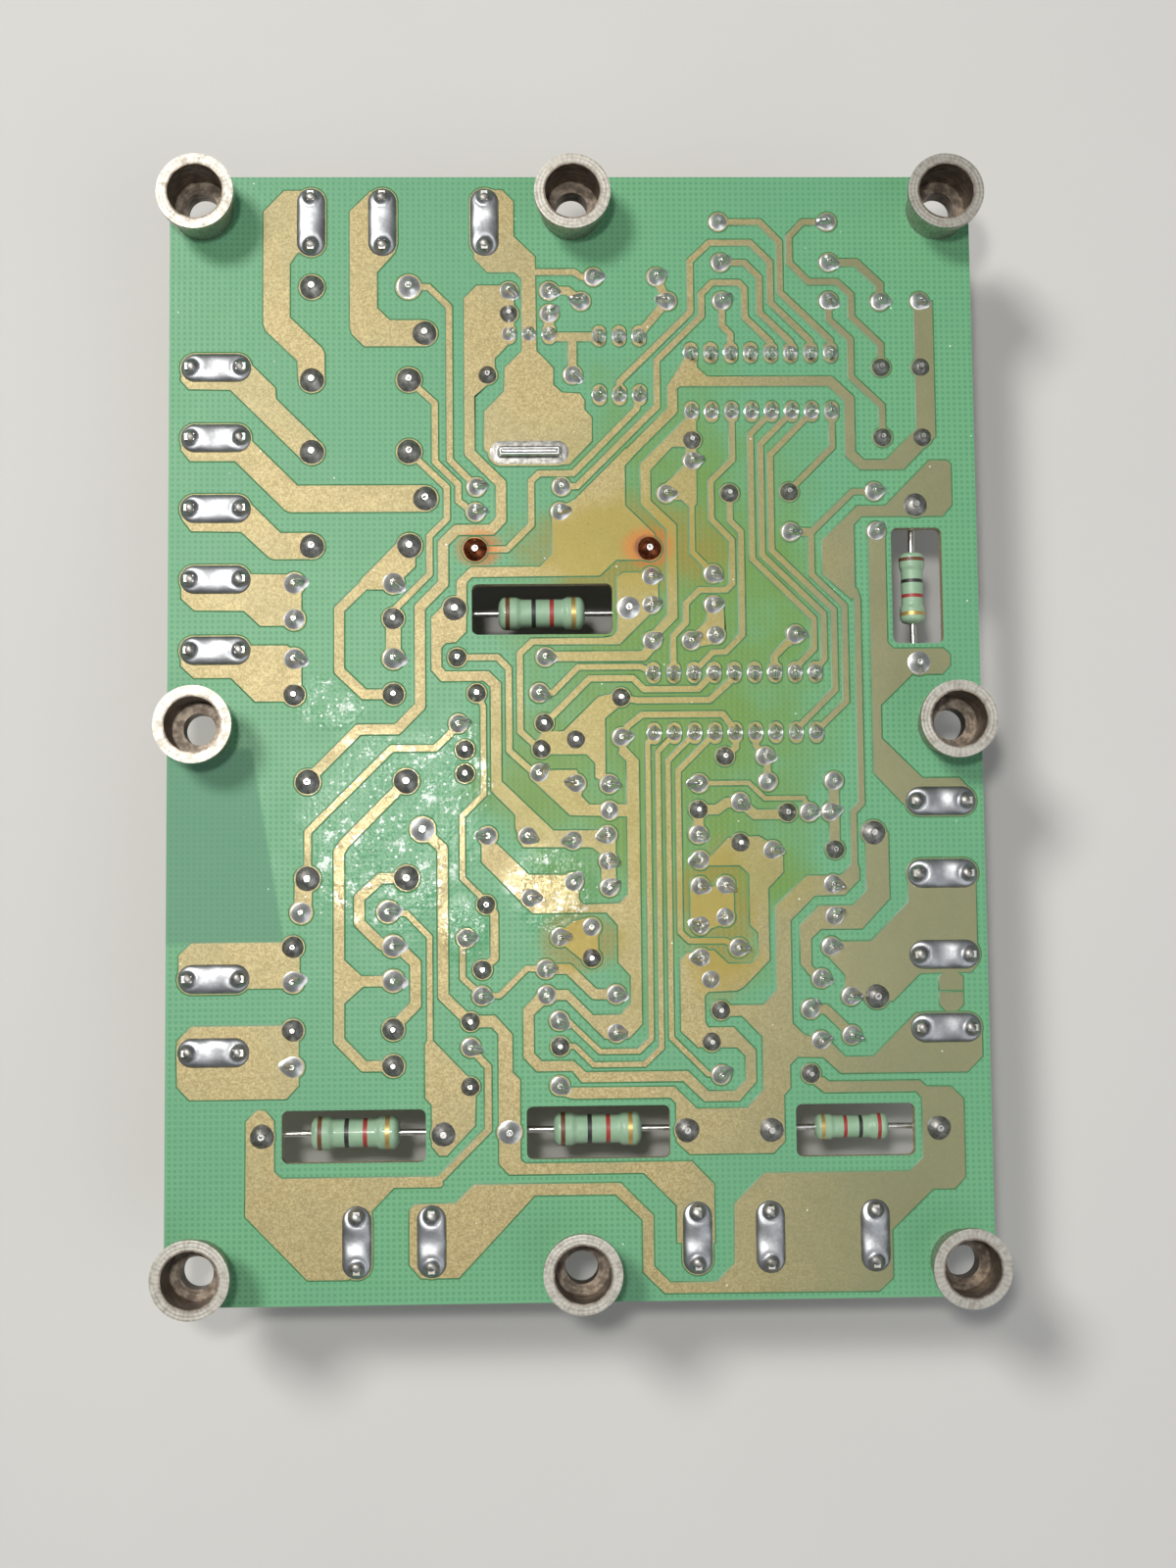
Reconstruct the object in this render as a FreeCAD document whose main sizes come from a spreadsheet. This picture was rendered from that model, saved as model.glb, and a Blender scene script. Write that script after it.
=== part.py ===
import FreeCAD, Part
import math
import os

import Sketcher
from FreeCAD import Placement, Rotation, Vector

# Relay motherboard, lying component side down with its solder side up.
# Frame: +Z up, X along the short edge, Y along the long edge. The origin is on the surface that the
# tallest components stand on, under the middle of the board.

doc = FreeCAD.newDocument("motherboard")

# ---------------------------------------------------------------------------------------------------
# Driving dimensions, in millimetres (angles in degrees). One row of the sheet each.
# ---------------------------------------------------------------------------------------------------
DIMENSIONS = {
    # board
    "board_width": 101.6,
    "board_length": 141.0,
    "board_thickness": 1.6,
    "component_height": 19.0,
    "copper_thickness": 0.07,
    "lead_radius": 0.3,
    "heavy_lead_radius": 0.4,
    "lead_rise": 1.1,
    "drill_gap": 0.15,
    "solder_gap": 0.02,
    "solder_rise": 0.85,
    "small_pad": 2.5,
    "diode_pad": 2.9,
    "heavy_pad": 3.2,
    "relay_pad": 3.3,
    "pin_pad_width": 1.7,
    "pin_pad_length": 2.7,
    # cooling slots over the power resistors
    "slot_width": 6.4,
    "slot_length": 17.6,
    "short_slot_length": 14.7,
    "slot_radius": 0.8,
    # mounting spacers
    "spacer_left": 4.15,
    "spacer_right": 4.15,
    "spacer_end": 4.3,
    "spacer_rise": 6.8,
    "spacer_rim_radius": 4.75,
    "spacer_rim_height": 1.1,
    "spacer_flare": 0.9,
    "spacer_neck_radius": 3.9,
    "spacer_bore_radius": 3.4,
    "spacer_floor": 0.7,
    "spacer_shank_radius": 2.9,
    "spacer_stake_radius": 3.5,
    "spacer_stake_height": 0.6,
    "spacer_seat_gap": 0.1,
    "screw_hole_radius": 2.0,
    # blade terminals
    "blade_width": 6.35,
    "blade_thickness": 0.8,
    "blade_height": 8.2,
    "blade_hole_radius": 0.8,
    "shoulder_width": 7.8,
    "shoulder_height": 2.6,
    "leg_width": 1.2,
    "leg_pitch": 6.35,
    "blade_pad_width": 3.8,
    "blade_pad_length": 9.0,
    # relays
    "relay_length": 22.5,
    "relay_width": 16.5,
    "relay_foot": 0.3,
    "relay_wall": 0.9,
    "relay_base_height": 2.3,
    "relay_fit": 0.05,
    "coil_span": 12.0,
    "coil_offset": 12.2,
    "common_offset": 14.2,
    "winding_radius": 5.2,
    "winding_height": 8.2,
    "bobbin_half": 5.6,
    "bobbin_flange": 0.7,
    "bobbin_hub_radius": 2.9,
    "core_radius": 2.4,
    "pole_radius": 3.2,
    "pole_height": 0.45,
    "pole_gap": 0.8,
    "yoke_thickness": 1.0,
    "yoke_foot_height": 0.8,
    "yoke_half": 4.4,
    "armature_thickness": 1.2,
    "armature_half": 5.0,
    "hinge_gap": 0.05,
    "spring_thickness": 0.25,
    "spring_half": 2.4,
    "contact_radius": 1.3,
    "contact_height": 0.6,
    "contact_gap": 1.25,
    "contact_rest_gap": 0.03,
    "contact_arm_height": 0.4,
    # regulator and heatsink
    "sheet": 0.8,
    "sink_width": 13.0,
    "sink_depth": 12.95,
    "sink_lift": 4.2,
    "tab_width": 7.4,
    "regulator_width": 10.0,
    "regulator_thickness": 4.2,
    "regulator_tab": 1.3,
    "regulator_lead_back": 2.7,
    "regulator_lift": 2.2,
    "regulator_body_height": 9.0,
    "regulator_height": 15.5,
    "screw_radius": 1.5,
    "screw_head_radius": 2.7,
    "screw_head_height": 1.8,
    "nut_height": 2.2,
    "screw_drop": 12.7,
    # integrated circuits
    "pin_pitch": 2.54,
    "row_pitch": 7.62,
    "ic_width": 6.35,
    "ic_height": 3.4,
    "ic_foot": 0.6,
    "ic_overhang": 1.1,
    "pin_width": 0.5,
    "pin_shoulder": 1.4,
    "pin_thickness": 0.28,
    # axial parts
    "power_radius": 2.1,
    "power_length": 11.0,
    "small_power_radius": 1.62,
    "small_power_length": 9.2,
    "hot_radius": 2.6,
    "hot_length": 15.0,
    "resistor_radius": 1.15,
    "resistor_length": 6.3,
    "diode_radius": 1.35,
    "diode_length": 5.2,
    "body_lift": 0.25,
    # radial parts
    "can_height": 15.0,
    "small_can_height": 11.0,
    "can_foot": 0.4,
    "film_length": 7.2,
    "film_width": 2.4,
    "film_height": 6.5,
    "disc_radius": 3.0,
    "disc_thickness": 2.0,
    "led_radius": 2.5,
    "led_flange": 2.9,
    "led_height": 8.6,
    "line_cap_width": 8.4,
    "line_cap_length": 17.4,
    "line_cap_foot": 0.3,
    "resonator_length": 7.5,
    "resonator_width": 3.0,
    "resonator_height": 6.0,
}

sheet = doc.addObject("Spreadsheet::Sheet", "Dims")
for row, (alias, number) in enumerate(DIMENSIONS.items(), start=1):
    sheet.set(f"A{row}", alias)
    sheet.set(f"B{row}", str(number))
    sheet.setAlias(f"B{row}", alias)
doc.recompute()


def size(alias):
    """The value of one cell of the sheet."""
    return float(sheet.get(alias))


# The layout grid: every place on the board is written in millimetres from its lower left corner, on a
# board of this nominal size, and follows the board when that grows or shrinks.
GRID_WIDTH = 101.6
GRID_LENGTH = 141.0

COMPONENT_FACE = "Dims.component_height"
SOLDER_FACE = "(Dims.component_height + Dims.board_thickness)"


def along(x):
    """Expression for the X of layout column x."""
    return f"(({x} / {GRID_WIDTH} - 0.5) * Dims.board_width)"


def across(y):
    """Expression for the Y of layout row y."""
    return f"(({y} / {GRID_LENGTH} - 0.5) * Dims.board_length)"


def at(point, z=0.0):
    """The layout point as a vector."""
    x, y = point
    return Vector(
        (x / GRID_WIDTH - 0.5) * size("board_width"),
        (y / GRID_LENGTH - 0.5) * size("board_length"),
        z,
    )


def component_face():
    return size("component_height")


def solder_face():
    return size("component_height") + size("board_thickness")


def copper_face():
    return solder_face() + size("copper_thickness")


# ---------------------------------------------------------------------------------------------------
# Layout: where each part stands
# ---------------------------------------------------------------------------------------------------
# Each relay by its normally-open pin.
RELAYS = [(17.9, 126.7), (17.9, 105.5), (17.4, 63.9)]

# Blade terminals, by the middle of their solder pad. The side ones lie along X, the others along Y.
LEFT_BLADES = [(5.9, y) for y in (116.3, 107.3, 98.3, 89.35, 80.4, 39.7, 30.7)]
RIGHT_BLADES = [(96.2, y) for y in (60.9, 51.85, 41.8, 32.75)]
TOP_BLADES = [(x, 135.1) for x in (17.8, 26.8, 39.75)]
BOTTOM_BLADES = [(x, 7.55) for x in (23.4, 32.5, 65.0, 73.95, 86.85)]

# Power resistors: first pad, second pad, and the middle of the cooling slot in front of the body.
POWER_RESISTORS = [
    ((35.7, 85.5), (57.5, 85.5), (46.65, 85.4)),
    ((11.85, 20.45), (34.0, 20.45), (23.05, 20.35)),
    ((42.1, 20.6), (63.9, 20.6), (53.0, 20.5)),
]
SMALL_POWER_RESISTORS = [
    ((74.3, 20.5), (95.0, 20.5), (84.7, 20.4)),
    ((93.9, 78.3), (93.9, 98.4), (93.9, 88.15)),
]
HOT_RESISTOR = ((38.3, 93.0), (60.2, 93.0))

DIODES = [
    ((15.7, 88.8), (28.05, 88.8)),
    ((15.7, 84.3), (28.05, 84.3)),
    ((15.7, 79.3), (28.05, 79.3)),
    ((15.7, 74.8), (28.05, 74.8)),
    ((16.6, 47.75), (27.3, 47.75)),
    ((15.6, 43.5), (27.9, 43.5)),
    ((15.6, 39.25), (27.9, 39.25)),
    ((15.6, 33.3), (27.9, 33.3)),
    ((15.6, 28.85), (27.9, 28.85)),
]

# Small axial resistors as (first column, last column, row).
RESISTORS = [
    ((first, row), (last, row))
    for first, last, row in (
        (69.5, 83.4, 135.1),
        (69.7, 83.5, 129.8),
        (69.8, 83.4, 124.8),
        (51.9, 62.85, 124.8),
        (53.5, 61.5, 127.95),
        (40.0, 50.75, 115.3),
        (38.5, 49.2, 100.95),
        (38.4, 49.0, 97.75),
        (77.95, 88.7, 100.15),
        (78.0, 88.85, 95.05),
        (62.4, 70.4, 100.0),
        (68.4, 78.4, 82.0),
        (36.0, 47.0, 79.35),
        (38.4, 46.2, 74.85),
        (36.1, 46.8, 71.05),
        (36.9, 46.4, 67.8),
        (36.9, 46.1, 64.8),
        (54.8, 66.0, 63.35),
        (54.8, 65.9, 60.05),
        (54.5, 65.8, 57.0),
        (54.6, 66.0, 53.8),
        (54.7, 65.9, 50.55),
        (74.6, 82.85, 63.5),
        (75.0, 82.85, 54.95),
        (69.1, 82.5, 50.65),
        (69.0, 82.6, 46.7),
        (70.6, 82.1, 42.9),
        (67.1, 80.8, 39.0),
        (68.3, 79.4, 35.2),
        (67.1, 80.6, 31.35),
        (68.2, 79.3, 27.3),
        (36.9, 48.5, 44.4),
        (38.9, 46.7, 40.5),
        (38.8, 46.8, 37.3),
        (37.4, 48.3, 34.15),
        (37.4, 48.4, 31.0),
        (37.3, 48.3, 26.2),
    )
]

# Electrolytic capacitors: two pads, radius of the can, sheet alias of its height.
CANS = [
    ((50.7, 68.95), (50.7, 63.45), 3.8, "can_height"),
    ((50.25, 56.4), (50.25, 51.2), 3.8, "can_height"),
    ((60.35, 89.45), (60.35, 85.9), 2.7, "small_can_height"),
    ((65.75, 106.85), (65.75, 104.2), 3.15, "small_can_height"),
]
FILM_CAPACITORS = [
    ((56.4, 74.2), (56.4, 69.2)),
    ((68.15, 89.75), (68.15, 85.8)),
    ((60.4, 81.3), (65.3, 81.3)),
    ((69.3, 66.7), (74.3, 66.7)),
    ((71.05, 55.9), (71.05, 61.0)),
    ((39.65, 57.0), (44.6, 57.0)),
    ((39.4, 48.5), (44.9, 49.3)),
    ((52.4, 45.6), (52.4, 41.8)),
    ((55.35, 32.6), (55.35, 37.3)),
    ((65.95, 41.7), (65.95, 45.7)),
    ((84.45, 32.0), (84.45, 36.8)),
]
DISC_CAPACITORS = [((42.75, 126.15), (47.85, 126.15)), ((42.75, 123.2), (47.85, 123.2))]
LINE_CAPACITOR = ((87.7, 57.0), (87.7, 36.7))
LEDS = [((89.95, row), (95.0, row)) for row in (124.7, 116.15, 107.1)]
RESONATOR = [(77.0, 59.65), (79.7, 59.65), (82.4, 59.65)]
REGULATOR = [(42.75, 120.6), (45.3, 120.6), (47.85, 120.6)]
SINK_TAB = (45.2, 105.35)

# Dual-in-line packages: name, first pin of the upper row, pins in a row.
DIP_PACKAGES = {
    "optocoupler": ((54.15, 120.3), 3),
    "driver_ic": ((65.76, 118.1), 8),
    "controller_ic": ((60.5, 77.26), 9),
}

# Tracks as (width, points).
TRACKS = [
    (0.75, [(30.1, 126.7), (32.6, 126.7), (35.2, 124.1), (35.2, 104.4), (38.5, 101.0)]),
    (0.75, [(30.1, 114.7), (33.35, 111.7), (33.35, 104.2), (36.25, 101.3), (36.25, 99.2), (38.4, 97.4)]),
    (0.75, [(30.1, 105.5), (34.8, 100.9), (34.8, 96.9), (32.6, 94.7), (32.6, 89.9), (28.05, 85.3),
            (28.05, 84.3)]),
    (
        1.25,
        [
            (37.7, 113.0), (37.7, 105.3), (41.6, 101.4), (41.6, 96.8), (40.4, 95.5), (36.0, 95.5),
            (34.3, 93.8), (34.3, 88.7), (31.35, 85.7), (31.35, 73.3), (28.5, 70.4), (23.7, 70.4),
            (17.4, 64.1),
        ],
    ),
    (0.75, [(46.0, 128.6), (51.1, 128.6), (52.0, 127.95), (53.5, 127.95)]),
    (1.2, [(24.6, 88.75), (21.3, 85.5), (21.3, 77.8), (24.4, 74.8), (28.05, 74.8)]),
    (1.8, [(28.05, 84.3), (28.05, 79.3)]),
    (1.25, [(29.6, 63.9), (22.0, 56.3), (21.25, 55.2), (21.25, 32.0), (24.3, 28.85), (27.9, 28.85)]),
    (0.8, [(17.4, 52.0), (17.4, 57.7), (27.8, 68.0), (33.2, 68.0), (34.9, 69.6), (36.1, 71.05)]),
    (2.1, [(16.9, 51.8), (16.8, 47.75)]),
    (1.25, [(29.6, 51.9), (26.4, 51.9), (23.75, 49.5), (23.75, 46.4), (26.5, 43.7), (27.9, 43.5)]),
    (1.3, [(27.9, 43.5), (29.0, 43.0), (30.65, 41.4), (30.65, 36.3), (27.9, 33.5)]),
    (1.25, [(31.6, 57.9), (34.05, 55.5), (34.05, 37.3), (37.3, 34.1)]),
    (0.65, [(27.3, 47.75), (29.6, 47.5), (32.4, 44.6), (32.4, 31.6)]),
    (1.2, [(65.76, 118.0), (65.76, 116.2), (63.35, 113.7), (63.35, 110.7), (56.6, 104.0)]),
    (1.2, [(66.0, 114.4), (83.4, 114.4), (85.8, 112.1), (85.8, 105.0), (87.3, 103.6), (92.3, 103.6)]),
    (1.1, [(47.85, 120.2), (54.1, 120.2)]),
    (1.05, [(50.75, 120.2), (50.75, 115.3)]),
    (1.2, [(47.85, 123.2), (47.85, 120.6)]),
    (1.0, [(47.85, 126.15), (50.2, 126.2), (51.9, 124.8)]),
    (1.0, [(61.5, 127.95), (62.85, 124.8), (59.3, 120.6)]),
    (
        0.75,
        [
            (56.7, 112.7), (56.7, 114.4), (65.8, 123.4), (65.8, 130.0), (68.3, 132.4), (73.5, 132.4),
            (76.0, 129.9), (76.0, 124.6), (81.0, 119.6), (81.0, 118.1),
        ],
    ),
    (
        0.75,
        [
            (49.2, 100.95), (51.2, 101.0), (61.4, 111.2), (61.4, 117.1), (67.2, 122.9), (67.2, 125.75),
            (68.6, 127.2), (72.0, 127.2), (72.7, 126.4), (72.7, 122.7), (75.92, 119.5), (75.92, 118.1),
        ],
    ),
    (0.75, [(69.7, 129.8), (72.75, 129.8), (74.6, 127.9), (74.6, 123.3), (78.46, 119.5), (78.46, 118.1)]),
    (0.75, [(69.8, 124.8), (69.8, 121.6), (70.84, 120.5), (70.84, 118.1)]),
    (0.75, [(69.5, 135.1), (74.8, 135.1), (77.25, 132.5), (77.25, 125.9), (83.54, 119.7), (83.54, 118.1)]),
    (
        0.75,
        [
            (83.4, 135.1), (80.25, 135.1), (78.5, 133.2), (78.5, 129.8), (80.9, 127.3), (84.5, 127.3),
            (86.3, 125.6), (86.3, 122.7), (89.95, 119.1), (89.95, 116.15),
        ],
    ),
    (0.95, [(83.5, 129.8), (87.0, 129.8), (90.0, 126.9), (89.95, 124.7)]),
    (0.75, [(83.4, 124.8), (83.4, 122.4), (86.1, 119.8), (86.1, 114.9), (89.95, 111.2), (89.95, 107.1)]),
    (
        0.75,
        [
            (59.23, 112.7), (58.8, 110.9), (50.7, 102.65), (46.4, 102.65), (45.4, 101.7), (45.4, 96.1),
            (42.3, 93.0), (38.3, 93.0),
        ],
    ),
    (0.65, [(65.6, 98.6), (65.6, 92.5), (68.15, 89.9)]),
    (1.2, [(47.0, 79.4), (59.3, 79.4), (60.4, 80.7)]),
    (
        0.7,
        [
            (70.84, 110.5), (70.84, 104.3), (68.05, 101.6), (68.05, 96.7), (70.6, 94.0), (70.6, 88.5),
            (69.8, 87.7), (66.4, 87.7), (64.7, 86.0), (64.7, 83.6), (63.04, 81.9), (63.04, 77.26),
        ],
    ),
    (0.7, [(70.4, 100.0), (70.4, 96.5), (71.75, 95.1), (71.75, 82.0), (69.6, 79.85), (68.0, 79.8),
           (65.58, 77.4)]),
    (0.7, [(75.92, 110.4), (73.15, 107.6), (73.15, 91.6), (80.75, 84.0), (80.75, 80.2), (78.28, 77.7)]),
    (0.7, [(78.46, 110.4), (74.4, 106.3), (74.4, 92.1), (82.0, 84.6), (82.0, 78.9), (80.82, 77.5)]),
    (0.7, [(81.0, 110.4), (75.6, 104.9), (75.6, 92.7), (83.3, 85.1), (83.3, 75.0), (78.28, 70.0)]),
    (0.7, [(83.54, 110.4), (83.54, 105.9), (77.95, 100.3)]),
    (0.7, [(88.7, 100.15), (86.0, 100.15), (80.6, 94.9), (80.6, 89.6), (84.65, 85.6),
           (84.65, 73.5), (80.82, 69.8)]),
    (1.0, [(78.0, 95.05), (80.6, 95.0)]),
    (0.7, [(86.0, 87.5), (86.3, 86.4), (86.3, 60.7), (85.25, 59.6), (85.25, 53.0)]),
    (0.75, [(55.5, 81.3), (45.4, 81.3), (43.8, 79.8), (43.8, 70.0), (46.4, 67.6)]),
    (0.75, [(36.0, 79.35), (41.0, 79.35), (42.4, 77.9), (42.4, 67.6), (44.9, 65.3), (46.1, 64.8)]),
    (0.65, [(38.4, 74.85), (39.2, 73.2), (39.2, 62.2), (36.5, 59.5), (36.5, 51.8), (39.2, 49.1),
            (39.4, 48.5)]),
    (0.7, [(46.2, 74.85), (47.9, 74.85), (51.1, 78.05), (58.9, 78.05), (60.5, 77.26)]),
    (0.75, [(46.8, 71.05), (47.8, 71.9), (52.5, 76.6), (57.9, 76.6), (59.3, 75.2), (66.1, 75.2),
            (68.12, 77.26)]),
    (0.75, [(70.66, 77.26), (70.2, 76.2), (67.5, 73.8), (58.4, 73.8), (56.4, 74.2)]),
    (0.75, [(56.4, 69.2), (57.2, 70.6), (59.0, 72.0), (69.1, 72.0), (70.66, 69.9)]),
    (0.6, [(60.5, 69.6), (59.65, 68.3), (59.65, 31.8), (58.1, 30.3), (53.3, 30.3), (49.4, 34.1),
           (48.3, 34.15)]),
    (0.6, [(63.04, 69.6), (60.9, 67.3), (60.9, 30.7), (58.8, 28.7), (52.5, 28.7), (50.2, 31.0),
           (48.4, 31.0)]),
    (0.6, [(65.58, 69.6), (62.15, 66.2), (62.15, 31.9), (66.6, 27.4), (68.2, 27.3)]),
    (0.65, [(68.12, 69.6), (63.4, 64.9), (63.4, 44.9), (64.5, 43.8), (69.0, 43.75), (70.6, 42.9)]),
    (0.75, [(70.66, 69.64), (70.7, 67.8), (69.3, 66.7)]),
    (0.75, [(73.2, 69.64), (73.2, 68.0), (74.3, 66.7)]),
    (0.8, [(74.6, 66.7), (74.6, 63.5)]),
    (0.8, [(75.74, 77.26), (75.7, 79.2), (78.4, 82.0)]),
    (0.55, [(66.0, 63.35), (72.2, 63.35), (74.2, 61.4), (79.1, 61.4), (79.7, 59.65)]),
    (1.25, [(65.85, 60.05), (65.85, 57.0)]),
    (1.2, [(66.0, 60.05), (68.2, 60.05), (69.4, 60.9), (71.05, 61.0), (72.9, 59.4), (77.0, 59.4)]),
    (1.2, [(82.85, 63.5), (82.85, 54.95)]),
    (1.2, [(46.7, 40.5), (49.5, 40.5), (52.7, 37.35), (55.35, 37.3)]),
    (0.65, [(38.8, 37.3), (41.0, 37.3), (44.4, 40.6), (46.7, 40.5)]),
    (0.7, [(36.9, 44.4), (36.45, 43.0), (36.45, 39.5), (38.8, 37.3)]),
    (0.95, [(39.4, 48.5), (40.4, 47.4), (40.4, 41.9), (38.9, 40.5)]),
    (1.1, [(79.4, 35.2), (81.3, 35.2), (84.45, 32.1)]),
    (0.8, [(33.4, 14.9), (39.5, 20.95), (39.5, 28.6), (37.4, 30.9)]),
    (0.8, [(78.4, 82.0), (77.6, 80.9)]),
]

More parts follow.
